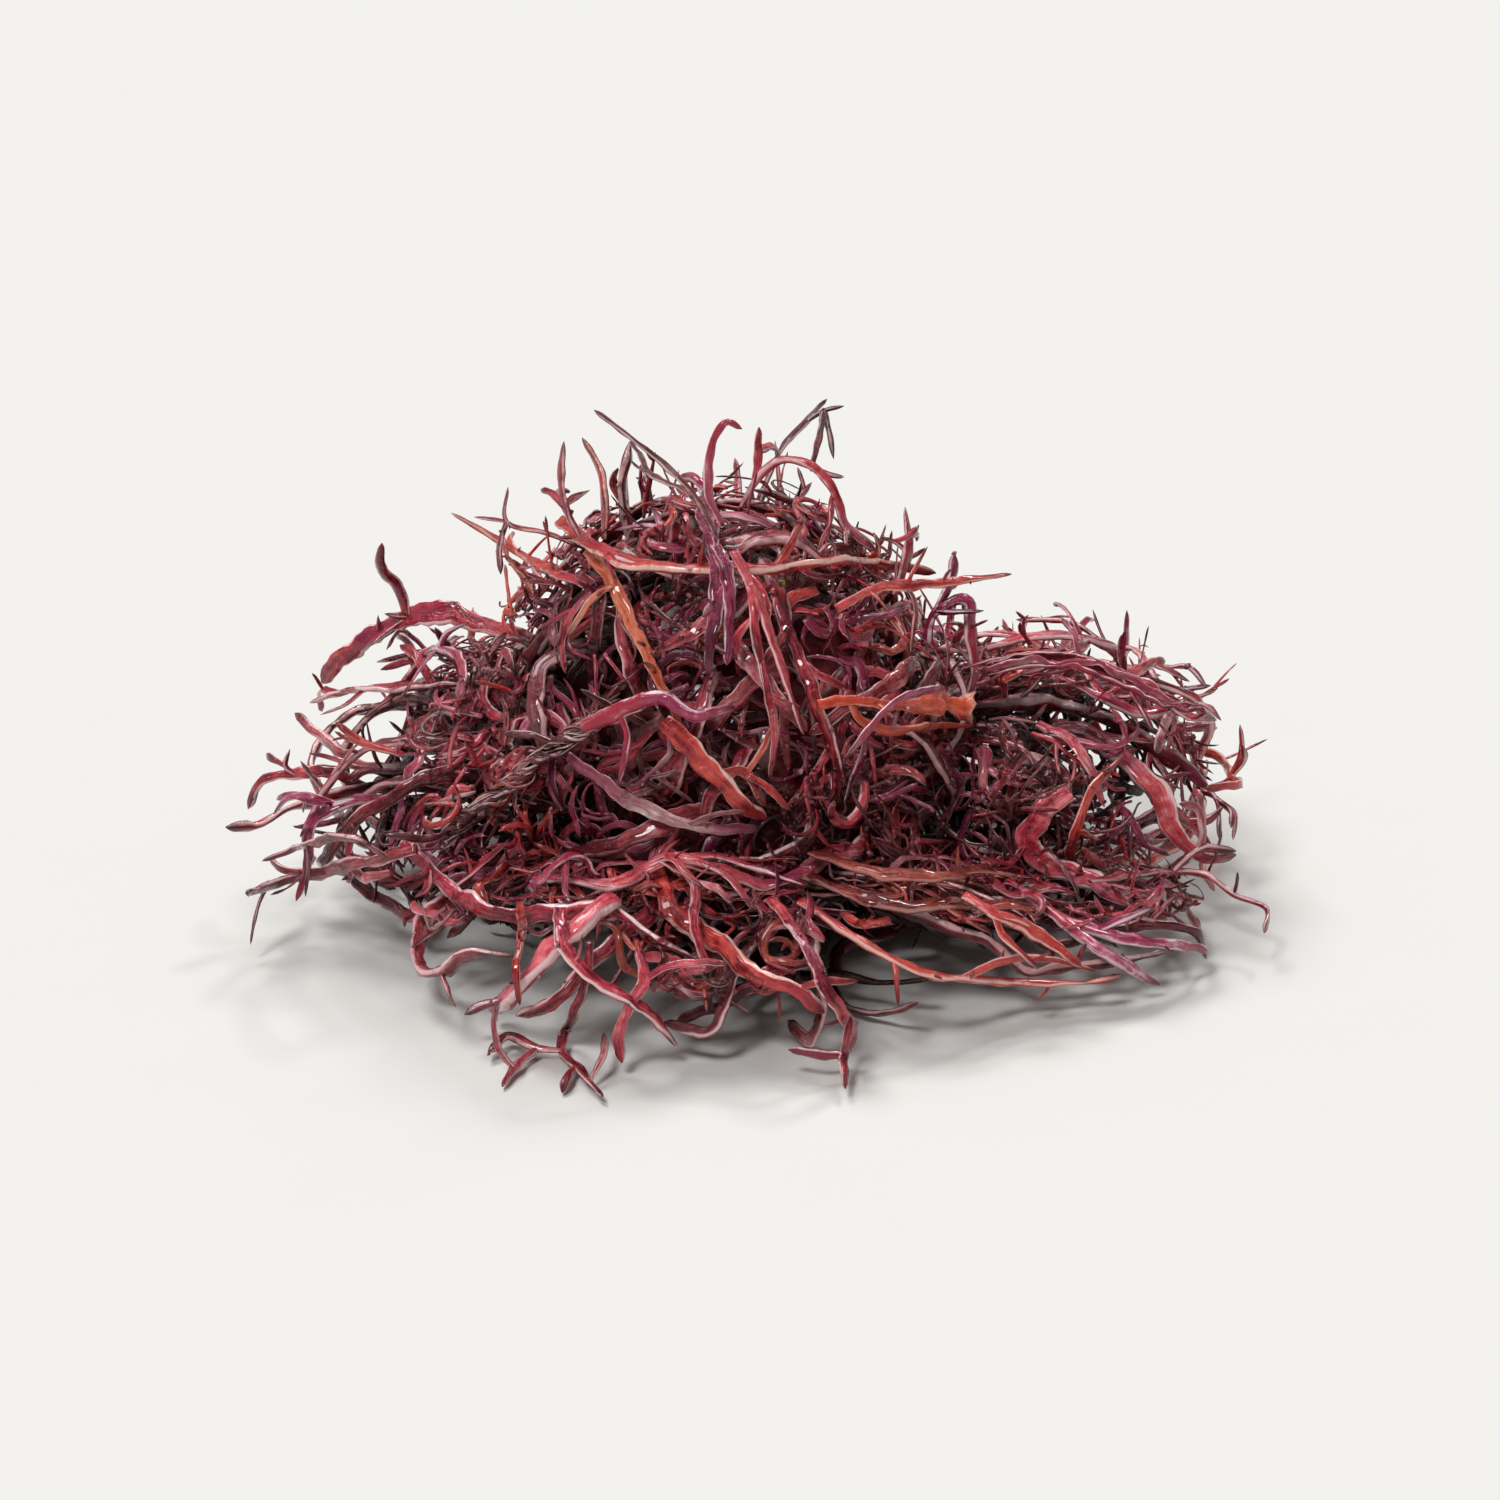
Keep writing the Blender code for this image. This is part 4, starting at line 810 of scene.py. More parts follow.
@dataclass
class Grower:
    """Lays and grows strands in the room that is left, with its own random draws."""

    room: Room
    rng: random.Random

    def reaches(self, axis: Axis, sights: Sequence[Vector], lowest: float) -> list[float]:
        """Measures how far away the points of a shown axis are, before it is pushed.

        Args:
            axis: the axis.
            sights: its points, as (across, rise, anything).
            lowest: the least height above the table.

        Returns:
            The distance of each from the eye.
        """
        reaches = []
        for number, sight in enumerate(sights):
            share = number / (len(sights) - 1)
            depth = axis.depth and axis.depth[0] + (axis.depth[1] - axis.depth[0]) * share
            reaches.append(VIEW.reach(sight, depth, lowest))
        return smoothed(reaches, REACH_EASING)

    def laid(self, axis: Axis, root: Ring | None) -> Strand:
        """Lays an axis of a shown frond, pushed towards the eye until it lies clear.

        Args:
            axis: the axis.
            root: the ring that it starts from on its own frond, or None for the main axis.

        Returns:
            The strand.
        """
        lowest = axis.width / 2 + TABLE_GAP
        sights = smooth_route(axis.route, ROUTE_STEPS)
        for sight, reach in zip(sights, self.reaches(axis, sights, lowest)):
            sight.z = min(reach, VIEW.reach(sight, math.inf, lowest))
        if root:
            start = VIEW.sight(root.middle)
            nearest = min(range(len(sights) - 1), key=lambda spot: (sights[spot] - start).xy.length)
            beyond = [
                sight for sight in sights[nearest:] if (sight - start).xy.length > NEAREST_RING
            ]
            for sight in beyond:
                share = min(1.0, (sight - start).xy.length / REACH_BLEND)
                sight.z = start.z + (sight.z - start.z) * share
            sights = [start, *beyond]
        sights = evenly(sights, RING_STEP)
        phase = self.rng.uniform(0, math.tau)
        twist = self.rng.uniform(-TWIST_PER_RING, TWIST_PER_RING)
        count = len(sights) if axis.flared else len(sights) - 1
        halves = half_widths(count, axis.width, phase, axis.flared)
        pushes = [0.0] * len(sights)
        for _ in range(MOST_PUSHES):
            points = [
                VIEW.place(Vector((sight.x, sight.y, sight.z - push)))
                for sight, push in zip(sights, pushes)
            ]
            strand = framed(points, halves, twist)
            near = (root.middle, root.width + ROOT_ROOM) if root else (None, 0.0)
            crowded = [not self.room.clear(balls, *near) for balls in strand.balls()]
            if not any(crowded):
                return strand
            for number in range(1 if root else 0, len(pushes)):
                if any(crowded[max(0, number - 1):number + 1]):
                    pushes[number] += PUSH
            for order in (range(1, len(pushes)), range(len(pushes) - 2, 0 if root else -1, -1)):
                for number in order:
                    beside = number - 1 if order.step > 0 else number + 1
                    pushes[number] = max(pushes[number], pushes[beside] - PUSH_SLOPE)
        raise RuntimeError(f"a strand at {axis.route[0]} finds no room")

    def clear_way(
        self,
        place: Vector,
        way: Vector,
        width: float,
        step: float,
        highest: float,
        near: tuple[Vector | None, float],
        mounds: Mounds,
    ) -> Vector | None:
        """Finds a way near the wanted one that a strand can take without touching.

        Args:
            place: where the strand is.
            way: the way that it wants to go.
            width: its width.
            step: how far it goes.
            highest: how far outside the skin it may come.
            near: a place by which nothing but the table is tested, and how far that holds.
            mounds: the mounds whose skin it follows.

        Returns:
            The way, or None where there is none.
        """
        out = outward(place, mounds)
        half = width / 2
        for tilt in [0.0, *AVOID_TILTS]:
            across = Quaternion(way, self.rng.uniform(0, math.tau)) @ way.orthogonal().normalized()
            turns = AVOID_TURNS if tilt else 1
            for turn in range(turns):
                axis = Quaternion(way, math.tau * turn / turns) @ across
                tried = Quaternion(axis, tilt) @ way
                side = tried.cross(out).normalized()
                from_ring = Ring(place, side, out, half, half * FLATNESS)
                to_ring = Ring(place + tried * step, side, out, half, half * FLATNESS)
                if skin_gap(to_ring.middle, mounds) > highest:
                    continue
                if self.room.clear(balls_between(from_ring, to_ring), *near):
                    return tried
        return None

    def grown(
        self,
        start: Vector,
        way: Vector,
        width: float,
        length: float,
        depth: float,
        step: float = LONG_STEP,
        root: Ring | None = None,
        target: Vector | None = None,
        mounds: Mounds = MOUNDS,
    ) -> Strand | None:
        """Grows a strand from a place along the skin of mounds, as far as it finds room.

        Args:
            start: where it starts.
            way: the way that it starts.
            width: its width.
            length: its length at most.
            depth: how far outside the skin it runs, negative inside.
            step: the length between its rings, roughly.
            root: the ring of its own frond that it starts from, if it has one.
            target: a place that it grows towards, if it has one.
            mounds: the mounds whose skin it follows.

        Returns:
            The strand, or None where there is no room at all.
        """
        rng = self.rng
        points = [start]
        root_reach = (root.width if root else 0.0) + ROOT_ROOM
        curl = rng.uniform(-CURL_PER_RING, CURL_PER_RING)
        phase = rng.uniform(0, math.tau)
        twist = rng.uniform(-TWIST_PER_RING, TWIST_PER_RING)
        count = max(FEWEST_RINGS, round(length / step))
        step = length / count
        for number in range(count):
            place = points[-1]
            out = outward(place, mounds)
            way = Quaternion(out, curl + rng.gauss(0, WANDER)) @ way
            wanted = max(-STEEPEST, min(STEEPEST, (depth - skin_gap(place, mounds)) / step))
            climb = way.dot(out) + (wanted - way.dot(out)) * SKIN_PULL
            along = way + Vector((place.x, place.y, 0)).normalized() * DOWNHILL
            if target and (target - place).length > 2 * step:
                along = along + (target - place).normalized() * TARGET_PULL
            along = along - out * along.dot(out)
            way = along.normalized() * math.sqrt(1 - climb * climb) + out * climb
            if place.z < 2 * width:
                way.z = max(way.z, 0.0)
            near = (start, root_reach) if number < 2 else (None, 0.0)
            highest = depth + MOST_PROUD
            way = self.clear_way(place, way.normalized(), width, step, highest, near, mounds)
            if not way:
                break
            points.append(place + way * step)
        while len(points) > FEWEST_RINGS:
            strand = framed(points, half_widths(len(points) - 1, width, phase), twist)
            if all(self.room.clear(balls, start, root_reach) for balls in strand.balls()):
                return strand
            points.pop()
        return None

    def fork(
        self, strand: Strand, width: float, length: float, depth: float, step: float = LONG_STEP
    ) -> Strand | None:
        """Grows a side branch from one of a strand's rings.

        Args:
            strand: the strand that it leaves.
            width: its width.
            length: its length at most.
            depth: how far outside the skin it runs.
            step: the length between its rings, roughly.

        Returns:
            The branch, or None where there is no room.
        """
        number = self.rng.randrange(1, len(strand.rings))
        ring = strand.rings[number]
        along = (ring.middle - strand.rings[number - 1].middle).normalized()
        angle = math.radians(self.rng.uniform(*FORK_ANGLE)) * self.rng.choice((-1, 1))
        out = outward(ring.middle)
        way = Quaternion(out, angle) @ along + out * self.rng.uniform(0, FORK_RISE)
        return self.grown(ring.middle, way.normalized(), width, length, depth, step, ring)

    def add_spurs(self, frond: Frond, count: int) -> None:
        """Gives a frond short spurs, each from a ring of one of its strands.

        Args:
            frond: the frond.
            count: how many spurs to try.
        """
        hosts = [strand for strand in frond.strands if len(strand.rings) > 1]
        for _ in range(count):
            host = self.rng.choice(hosts)
            width = self.rng.uniform(*SPUR_WIDTH)
            spur = self.fork(host, width, self.rng.uniform(*SPUR_LENGTH), SPUR_DEPTH, SPUR_STEP)
            if spur:
                frond.strands.append(spur)

    def shown_frond(self, shown: Shown) -> Frond:
        """Lays a shown frond on the fronds before it.

        Args:
            shown: the frond's axes and colour.

        Returns:
            The frond.
        """
        frond = Frond(shown.name, shown.colour)
        for axis in shown.axes:
            root = None
            if frond.strands:
                rings = [ring for strand in frond.strands for ring in strand.rings[1:]]
                start = Vector((*axis.route[0], 0.0))
                root = min(rings, key=lambda ring: (VIEW.sight(ring.middle) - start).xy.length)
            frond.strands.append(self.laid(axis, root))
        self.add_spurs(frond, shown.spurs)
        return frond

    def bare_spot(self, facing: float = -1.0) -> Vector:
        """Finds the barest of some random places on the heap's skin.

        Args:
            facing: the least that the skin there may face the back, from -1 to 1.

        Returns:
            The place.
        """
        spots = []
        while len(spots) < SPOT_TRIES:
            centre, half = self.rng.choice(MOUNDS)
            place = centre + on_sphere(self.rng, 0.0, SPOT_TOP) * half
            if skin_gap(place) > -SPOT_SUNK and outward(place).y >= facing:
                spots.append(place)
        return max(spots, key=self.room.openness)

    def reaching_frond(self, number: int, low_place: Vector | None = None) -> list[Strand]:
        """Grows a frond of the heart that reaches from the core, with the fork some have.

        Args:
            number: its place in the order, which says whether it forks.
            low_place: a place low inside the heap that it reaches for, or None for a bare spot.

        Returns:
            Its strands, none where it finds no room.
        """
        rng = self.rng
        target = low_place or self.bare_spot()
        spot = scaled(target - CORE_CENTRE, CORE_HALF)
        slant = rng.uniform(-REACHING_SLANT, REACHING_SLANT)
        root = core_root((Quaternion(Vector((0, 0, 1)), slant) @ spot).normalized())
        along = Quaternion(root.face, rng.uniform(0, math.tau)) @ root.side
        way = (root.face + along * rng.uniform(*REACHING_LEAN)).normalized()
        width = rng.uniform(*REACHING_WIDTH)
        length = (target - root.middle).length + rng.uniform(*REACHING_SPREAD)
        depth = skin_gap(target) - LOW_SUNK if low_place else rng.uniform(*REACHING_DEPTH)
        strand = self.grown(root.middle, way, width, length, depth, root=root, target=target)
        if not strand or len(strand.rings) < SHORTEST_REACHING:
            return []
        if number % REACHING_FORK_EVERY:
            return [strand]
        side = self.fork(strand, width * FORK_WIDTH, length * REACHING_FORK_SHARE, depth)
        return [strand, side] if side else [strand]

    def wrapping_frond(self) -> list[Strand]:
        """Grows a frond of the heart that is wrapped over the barest part of the core.

        Returns:
            Its strand, none where it finds no room.
        """
        rng = self.rng
        spots = [on_sphere(rng, WRAPPING_LOWEST, 1.0) for _ in range(SPOT_TRIES)]
        openness = self.room.openness
        root = core_root(max(spots, key=lambda spot: openness(CORE_CENTRE + spot * CORE_HALF)))
        along = Quaternion(root.face, rng.uniform(0, math.tau)) @ root.side
        way = (root.face + along).normalized()
        width = rng.uniform(*WRAPPING_WIDTH)
        length = rng.uniform(*WRAPPING_LENGTH)
        depth = rng.uniform(*WRAPPING_DEPTH)
        core = [(CORE_CENTRE, CORE_HALF)]
        strand = self.grown(root.middle, way, width, length, depth, root=root, mounds=core)
        return [strand] if strand and len(strand.rings) >= SHORTEST_WRAPPING else []

    def fill_frond(self, number: int) -> Frond | None:
        """Grows a frond over the barest part of the heap, from beside the nearest strand.

        Args:
            number: its place in the order, which names it and gives its colour.

        Returns:
            The frond, or None where it stays too short.
        """
        rng = self.rng
        place = self.bare_spot(FILL_FACING)
        nearest, index, _ = self.room.tree.find(place)
        width = rng.uniform(*FILL_WIDTH)
        clearance = self.room.balls[index][1] + width + 2 * GAP
        start = nearest + (place - nearest).normalized() * clearance
        length = rng.uniform(*FILL_LENGTH)
        sideways = outward(start).cross(Vector((0, 0, 1))) * rng.uniform(-1, 1)
        way = ((place - nearest).normalized() + sideways).normalized()
        strand = self.grown(start, way, width, length, FILL_DEPTH)
        if not strand or len(strand.rings) < SHORTEST_FILL:
            return None
        colour = FILL_COLOURS[number % len(FILL_COLOURS)]
        frond = Frond(f"frond_{number + 1:02d}", colour, [strand])
        for _ in range(FILL_FORKS):
            reach = length * rng.uniform(*FORK_LENGTH)
            side = self.fork(strand, width * FORK_WIDTH, reach, FORK_DEPTH)
            if side:
                frond.strands.append(side)
        self.add_spurs(frond, FILL_SPURS)
        return frond

    def add_to_heart(
        self, heart: Frond, grow: Callable[..., list[Strand]], *order: int | Vector
    ) -> None:
        """Gives the heart the strands of the first try that finds room.

        Args:
            heart: the heart.
            grow: one try, which gives no strands where it finds no room.
            order: what each try is given.
        """
        tries = (grow(*order) for _ in range(HEART_TRIES))
        for strand in next(filter(None, tries), []):
            heart.strands.append(strand)
            self.room.take(strand)


def core_root(spot: Vector) -> Ring:
    """Gives a ring sunk in the core, at a spot on its unit sphere, to start a strand from."""
    out = scaled(spot, CORE_HALF).normalized()
    start = CORE_CENTRE + spot * CORE_HALF - out * ROOT_SUNK
    return Ring(start, out.orthogonal().normalized(), out, ROOT_SUNK + LONG_STEP, 1.0)


def grow_heap(room: Room) -> list[Frond]:
    """Lays all the fronds that the solids have, in the same order and places.

    Args:
        room: the space that is taken, with nothing in it yet.

    Returns:
        The fronds, the heart first.
    """
    grower = Grower(room, random.Random(SEED))
    heart = Frond("matted_heart", "dark")
    for _ in range(WRAPPING_FRONDS):
        grower.add_to_heart(heart, grower.wrapping_frond)
    for number in range(REACHING_FRONDS):
        grower.add_to_heart(heart, grower.reaching_frond, number)
    fronds = [heart]
    for shown in SHOWN:
        fronds.append(Grower(room, random.Random(shown.name)).shown_frond(shown))
        room.take_all(fronds[-1])
    for number in range(FILL_FRONDS):
        frond = None
        while not frond:
            frond = grower.fill_frond(number)
        fronds.append(frond)
        room.take_all(frond)
    for number, place in enumerate(LOW_PLACES, 1):
        grower.add_to_heart(heart, grower.reaching_frond, number, Vector(place))
    return fronds


@dataclass(frozen=True)
class Profile:
    """How a strand's cross-section has dried, as shares of its half-width."""

    thickness: float
    groove: float
    fold: float
    wrinkle: float
    bead: float
    crease: float


class Build(Enum):
    """The ways that the strands have dried."""

    PLUMP = Profile(0.92, 0.12, 0.08, 0.04, 0.15, 0.05)
    COLLAPSED = Profile(0.70, 0.46, 0.16, 0.06, 0.16, 0.11)
    RIBBON = Profile(0.38, 0.36, 0.30, 0.07, 0.12, 0.09)
    BLADE = Profile(0.46, 0.44, 0.28, 0.08, 0.09, 0.10)
    WIRE = Profile(0.88, 0.10, 0.05, 0.06, 0.24, 0.08)
    TRUMPET = Profile(0.72, 0.16, 0.06, 0.05, 0.05, 0.07)


# The builds of the fronds that aren't collapsed tubes.
BUILDS = {
    "trumpet": Build.TRUMPET,
    "taupe_ribbon": Build.RIBBON,
    "amber_strip": Build.RIBBON,
    "rose_blade": Build.BLADE,
    "cone_blade": Build.BLADE,
    "crimson_leaf": Build.BLADE,
    "left_back_blade": Build.BLADE,
    "left_back_prongs": Build.RIBBON,
    "grape_band": Build.PLUMP,
    "magenta_knot": Build.PLUMP,
    "red_bud": Build.PLUMP,
    "plum_toe": Build.PLUMP,
    "crown_wires": Build.WIRE,
    "crown_fork": Build.WIRE,
    "crown_curl": Build.WIRE,
}

# The values that each point of a piece carries for its finish, among them how much painted shade
# its depth in the heap gives it.
MARKS = ("along", "across", "tint", "tip", "groove", "buried", "pale")


def waves(along: np.ndarray, rng: random.Random, length: float) -> np.ndarray:
    """Gives an uneven wave along a strand.

    Args:
        along: the places on it, in millimetres.
        rng: what its waves are drawn from.
        length: the length of a wave, roughly.

    Returns:
        The wave's values, from about -1 to 1.
    """
    total = np.zeros(len(along))
    for share in (0.45, 1.0, 1.9):
        turn = math.tau * along / (length * share * rng.uniform(0.8, 1.25))
        total += np.sin(turn + rng.uniform(0, math.tau)) * (0.3 + 0.25 * share)
    return total / 1.4


def eased(values: np.ndarray, at: np.ndarray) -> np.ndarray:
    """Gives rows between rows of values, on a smooth curve through them.

    Args:
        values: the rows.
        at: where the new rows are, as row numbers with fractions.

    Returns:
        The new rows.
    """
    rows = np.vstack([2 * values[:1] - values[1:2], values, 2 * values[-1:] - values[-2:-1]])
    index = np.minimum(at.astype(int), len(values) - 2)
    share = (at - index)[:, None]
    before, start, end, after = (rows[index + step] for step in range(4))
    bend = 2 * before - 5 * start + 4 * end - after
    rush = 3 * start - before - 3 * end + after
    return 0.5 * (2 * start + (end - before) * share + bend * share**2 + rush * share**3)


def unit(ways: np.ndarray) -> np.ndarray:
    """Gives rows of ways at length 1."""
    return ways / np.maximum(np.linalg.norm(ways, axis=1, keepdims=True), 1e-9)


def depth_under_skin(places: np.ndarray) -> np.ndarray:
    """Gives how deep places are in the heap, in millimetres, negative outside its skin."""
    depths = []
    for centre, half in MOUNDS:
        offset = places - np.array(centre)
        share = np.linalg.norm(offset / np.array(half), axis=1)
        depths.append(np.linalg.norm(offset, axis=1) * (1 / np.maximum(share, 1e-3) - 1))
    return np.max(depths, axis=0)


@dataclass
class Course:
    """The line that a fine strand follows: its places, its flat ways and its half-widths."""

    places: np.ndarray
    faces: np.ndarray
    halves: np.ndarray
    mouth: bool = False

    @classmethod
    def of_strand(cls, strand: Strand, rng: random.Random, slimmed: float = SLIMMED) -> "Course":
        """Gives the line of one of the solids' strands, with its width evened out.

        Args:
            strand: the strand.
            rng: what the bluntness of its tip is drawn from.
            slimmed: its width as a share of the solid's.

        Returns:
            Its line, with the tip as the last place.
        """
        rings = strand.rings
        places = [tuple(ring.middle) for ring in rings]
        faces = [tuple(ring.face) for ring in rings]
        own = np.array([ring.width for ring in rings])
        halves = list(slimmed * (EVENED * own.mean() + (1 - EVENED) * own))
        if strand.tip:
            places.append(tuple(strand.tip))
            faces.append(faces[-1])
            halves.append(halves[-1] * rng.choice(TIP_SHARES))
        return cls(np.array(places), np.array(faces), np.array(halves), strand.tip is None)

    @classmethod
    def of_points(cls, points: Sequence[Vector], half: float, slimming: float = 0.50) -> "Course":
        """Gives the line of a thin strand that grew along points.

        Args:
            points: its places.
            half: its half-width at its widest.
            slimming: how much of it is lost towards its end.

        Returns:
            Its line.
        """
        shares = np.linspace(0, 1, len(points))
        halves = half * (1 - slimming * shares**1.4) * np.minimum(1, 0.65 + 2 * shares)
        faces = np.array([tuple(outward(point)) for point in points])
        return cls(np.array([tuple(point) for point in points]), faces, halves)

    def framed(self, at: np.ndarray) -> tuple[np.ndarray, np.ndarray, np.ndarray, np.ndarray]:
        """Follows the line on a smooth curve.

        Args:
            at: where it is followed, as numbers of its places with fractions.

        Returns:
            The middle, the way along, the flat way and the way to the side of each.
        """
        middle = eased(self.places, at)
        way = unit(np.gradient(middle, axis=0))
        face = eased(self.faces, at)
        face = unit(face - way * np.sum(face * way, axis=1, keepdims=True))
        return middle, way, face, np.cross(face, way)


class Tube:
    """A strand's skin in loops of points: a beaded, wrinkled tube that has dried flat or plump."""

    def __init__(self, course: Course, profile: Profile, rng: random.Random, fewest: int) -> None:
        """Steps along the strand's line, and gives each step its beads, its roll and its sway.

        Args:
            course: the line that it follows.
            profile: how its cross-section has dried.
            rng: what its beads and wrinkles are drawn from.
            fewest: the fewest sides that it may have.
        """
        self.course, self.profile, self.rng = course, profile, rng
        stretches = np.linalg.norm(np.diff(course.places, axis=0), axis=1)
        widest = 2 * float(course.halves.max())
        step = float(np.clip(FINE_STEP * widest, *FINE_STEPS))
        count = max(FEWEST_STEPS, round(float(stretches.sum()) / step))
        marks = np.concatenate([[0], np.cumsum(stretches)])
        at = np.interp(np.linspace(0, marks[-1], count + 1), marks, np.arange(len(marks)))
        middle, self.way, face, side = course.framed(at)
        steps = np.linalg.norm(np.diff(middle, axis=0), axis=1)
        self.along = np.concatenate([[0], np.cumsum(steps)])
        self.rest = self.along[-1] - self.along
        half = np.interp(at, np.arange(len(course.halves)), course.halves)
        half = half * (1 + profile.bead * self.waves(5.0 + 1.5 * widest))
        if course.mouth:
            half = np.interp(self.rest, *MOUTH_SHAPE) * (1 + profile.bead * self.waves(4.0))
        else:
            half = half * np.sqrt(np.clip(self.rest / (0.5 + half), 0.02, 1))
        roll = (ROLL * self.waves(9.0))[:, None]
        cosine, sine = np.cos(roll), np.sin(roll)
        self.face, self.side = face * cosine + side * sine, side * cosine - face * sine
        sway = SWAY * half * np.minimum(1, np.minimum(self.along, self.rest) / 2)
        self.middle = middle + self.side * (sway * self.waves(5.0))[:, None]
        self.middle[:, 2] = np.maximum(self.middle[:, 2], FLOOR_GAP + half * profile.thickness)
        self.half = half
        sides = max(fewest, min(MOST_SIDES, 2 * round(widest * SIDES_PER_WIDTH)))
        self.turn = math.tau * np.arange(sides) / sides

    def waves(self, length: float) -> np.ndarray:
        """Gives an uneven wave along the strand, with waves of this length."""
        return waves(self.along, self.rng, length)

    def rough(self) -> np.ndarray:
        """Gives how far the wrinkles and creases stand out, as shares of the half-width."""
        ridges = np.zeros((len(self.along), len(self.turn)))
        for number in (3, 5):
            shift = self.rng.uniform(0, math.tau) + 1.6 * self.waves(4.0)[:, None]
            ridges += np.sin(number * self.turn[None, :] + shift) * self.waves(2.6)[:, None]
        spiral = self.rng.uniform(*SPIRAL) * self.along[:, None] + 0.9 * self.waves(8.0)[:, None]
        turn = self.turn[None, :]
        creases = np.sin(3 * turn + spiral) + 0.6 * np.sin(5 * turn - 1.7 * spiral)
        return self.profile.wrinkle * ridges + self.profile.crease * creases

    def loops(self) -> tuple[np.ndarray, dict[str, np.ndarray]]:
        """Shapes the cross-sections.

        Returns:
            The loops of points, and what their points carry.
        """
        profile = self.profile
        u, v = np.cos(self.turn)[None, :], np.sin(self.turn)[None, :]
        dent = np.exp(-((u / 0.5) ** 2))
        top = profile.groove * (0.62 + 0.38 * self.waves(6.0))[:, None]
        under = profile.groove * (0.40 + 0.50 * self.waves(8.0))[:, None]
        groove = np.clip(np.where(v > 0, top, under), 0, 0.85) * dent
        slack = (1 + 0.22 * self.waves(7.0))[:, None]
        if self.course.mouth:
            open_share = np.clip(1 - self.rest / MOUTH_REACH, 0, 1)[:, None]
            slack = slack + open_share * 0.25
            groove = groove * (1 - open_share)
        height = profile.thickness * slack * np.sign(v) * np.abs(v) ** 0.8 * (1 - groove)
        bent = profile.fold * (0.5 + 0.8 * self.waves(11.0))[:, None] * (u**2 - 0.45)
        swell = 1 + self.rough() * np.minimum(1, self.along / 1.5)[:, None]
        loops = self.middle[:, None, :] + self.half[:, None, None] * (
            self.side[:, None, :] * (u * swell)[:, :, None]
            + self.face[:, None, :] * (height * swell + bent)[:, :, None]
        )
        shape = loops.shape[:2]
        ends = np.clip(1 - self.rest / (2.5 + 2 * self.half), 0, 1) * (not self.course.mouth)
        carried = {
            "along": np.broadcast_to(self.along[:, None], shape),
            "across": np.broadcast_to(u, shape),
            "tip": np.broadcast_to(ends[:, None], shape),
            "groove": groove,
            "pale": np.zeros(shape),
        }
        return self.hollowed(loops, carried) if self.course.mouth else (loops, carried)

    def hollowed(
        self, loops: np.ndarray, carried: dict[str, np.ndarray]
    ) -> tuple[np.ndarray, dict[str, np.ndarray]]:
        """Opens the end into a torn mouth, cut square to the front view, with an inner wall.

        Args:
            loops: the loops of points.
            carried: what the points carry.

        Returns:
            The loops and what they carry, with the inner wall after the outer one.
        """
        sides = len(self.turn)
        tears = np.array([self.rng.uniform(-1, 1) for _ in range(sides)])
        tears = tears + 0.8 * np.sin(np.arange(sides) * 1.9)
        near = min(MOUTH_LOOPS, len(loops) - 2)
        away = np.array(VIEW.away)
        way = self.way[-1]
        cut = way - away * (way @ away)
        for back in range(near):
            share = 1 - back / near
            lean = (loops[-1 - back] - self.middle[-1 - back]) @ cut / max(0.4, cut @ way)
            moved = share**2 * (TEAR_DEPTH * tears - np.clip(lean, -2, 2))
            loops[-1 - back] += way * moved[:, None]
            # The torn edge is marked pale, which paints it in the same pale colour as the painted
            # edge highlights.
            carried["pale"][-1 - back] = share**7
        centres = self.middle[-near:, None, :]
        shrunk = centres + (loops[-near:] - centres) * MOUTH_WALL
        loops = np.concatenate([loops, shrunk[::-1]])
        for mark, rows in carried.items():
            carried[mark] = np.concatenate([rows, rows[-near:][::-1]])
        return loops, carried


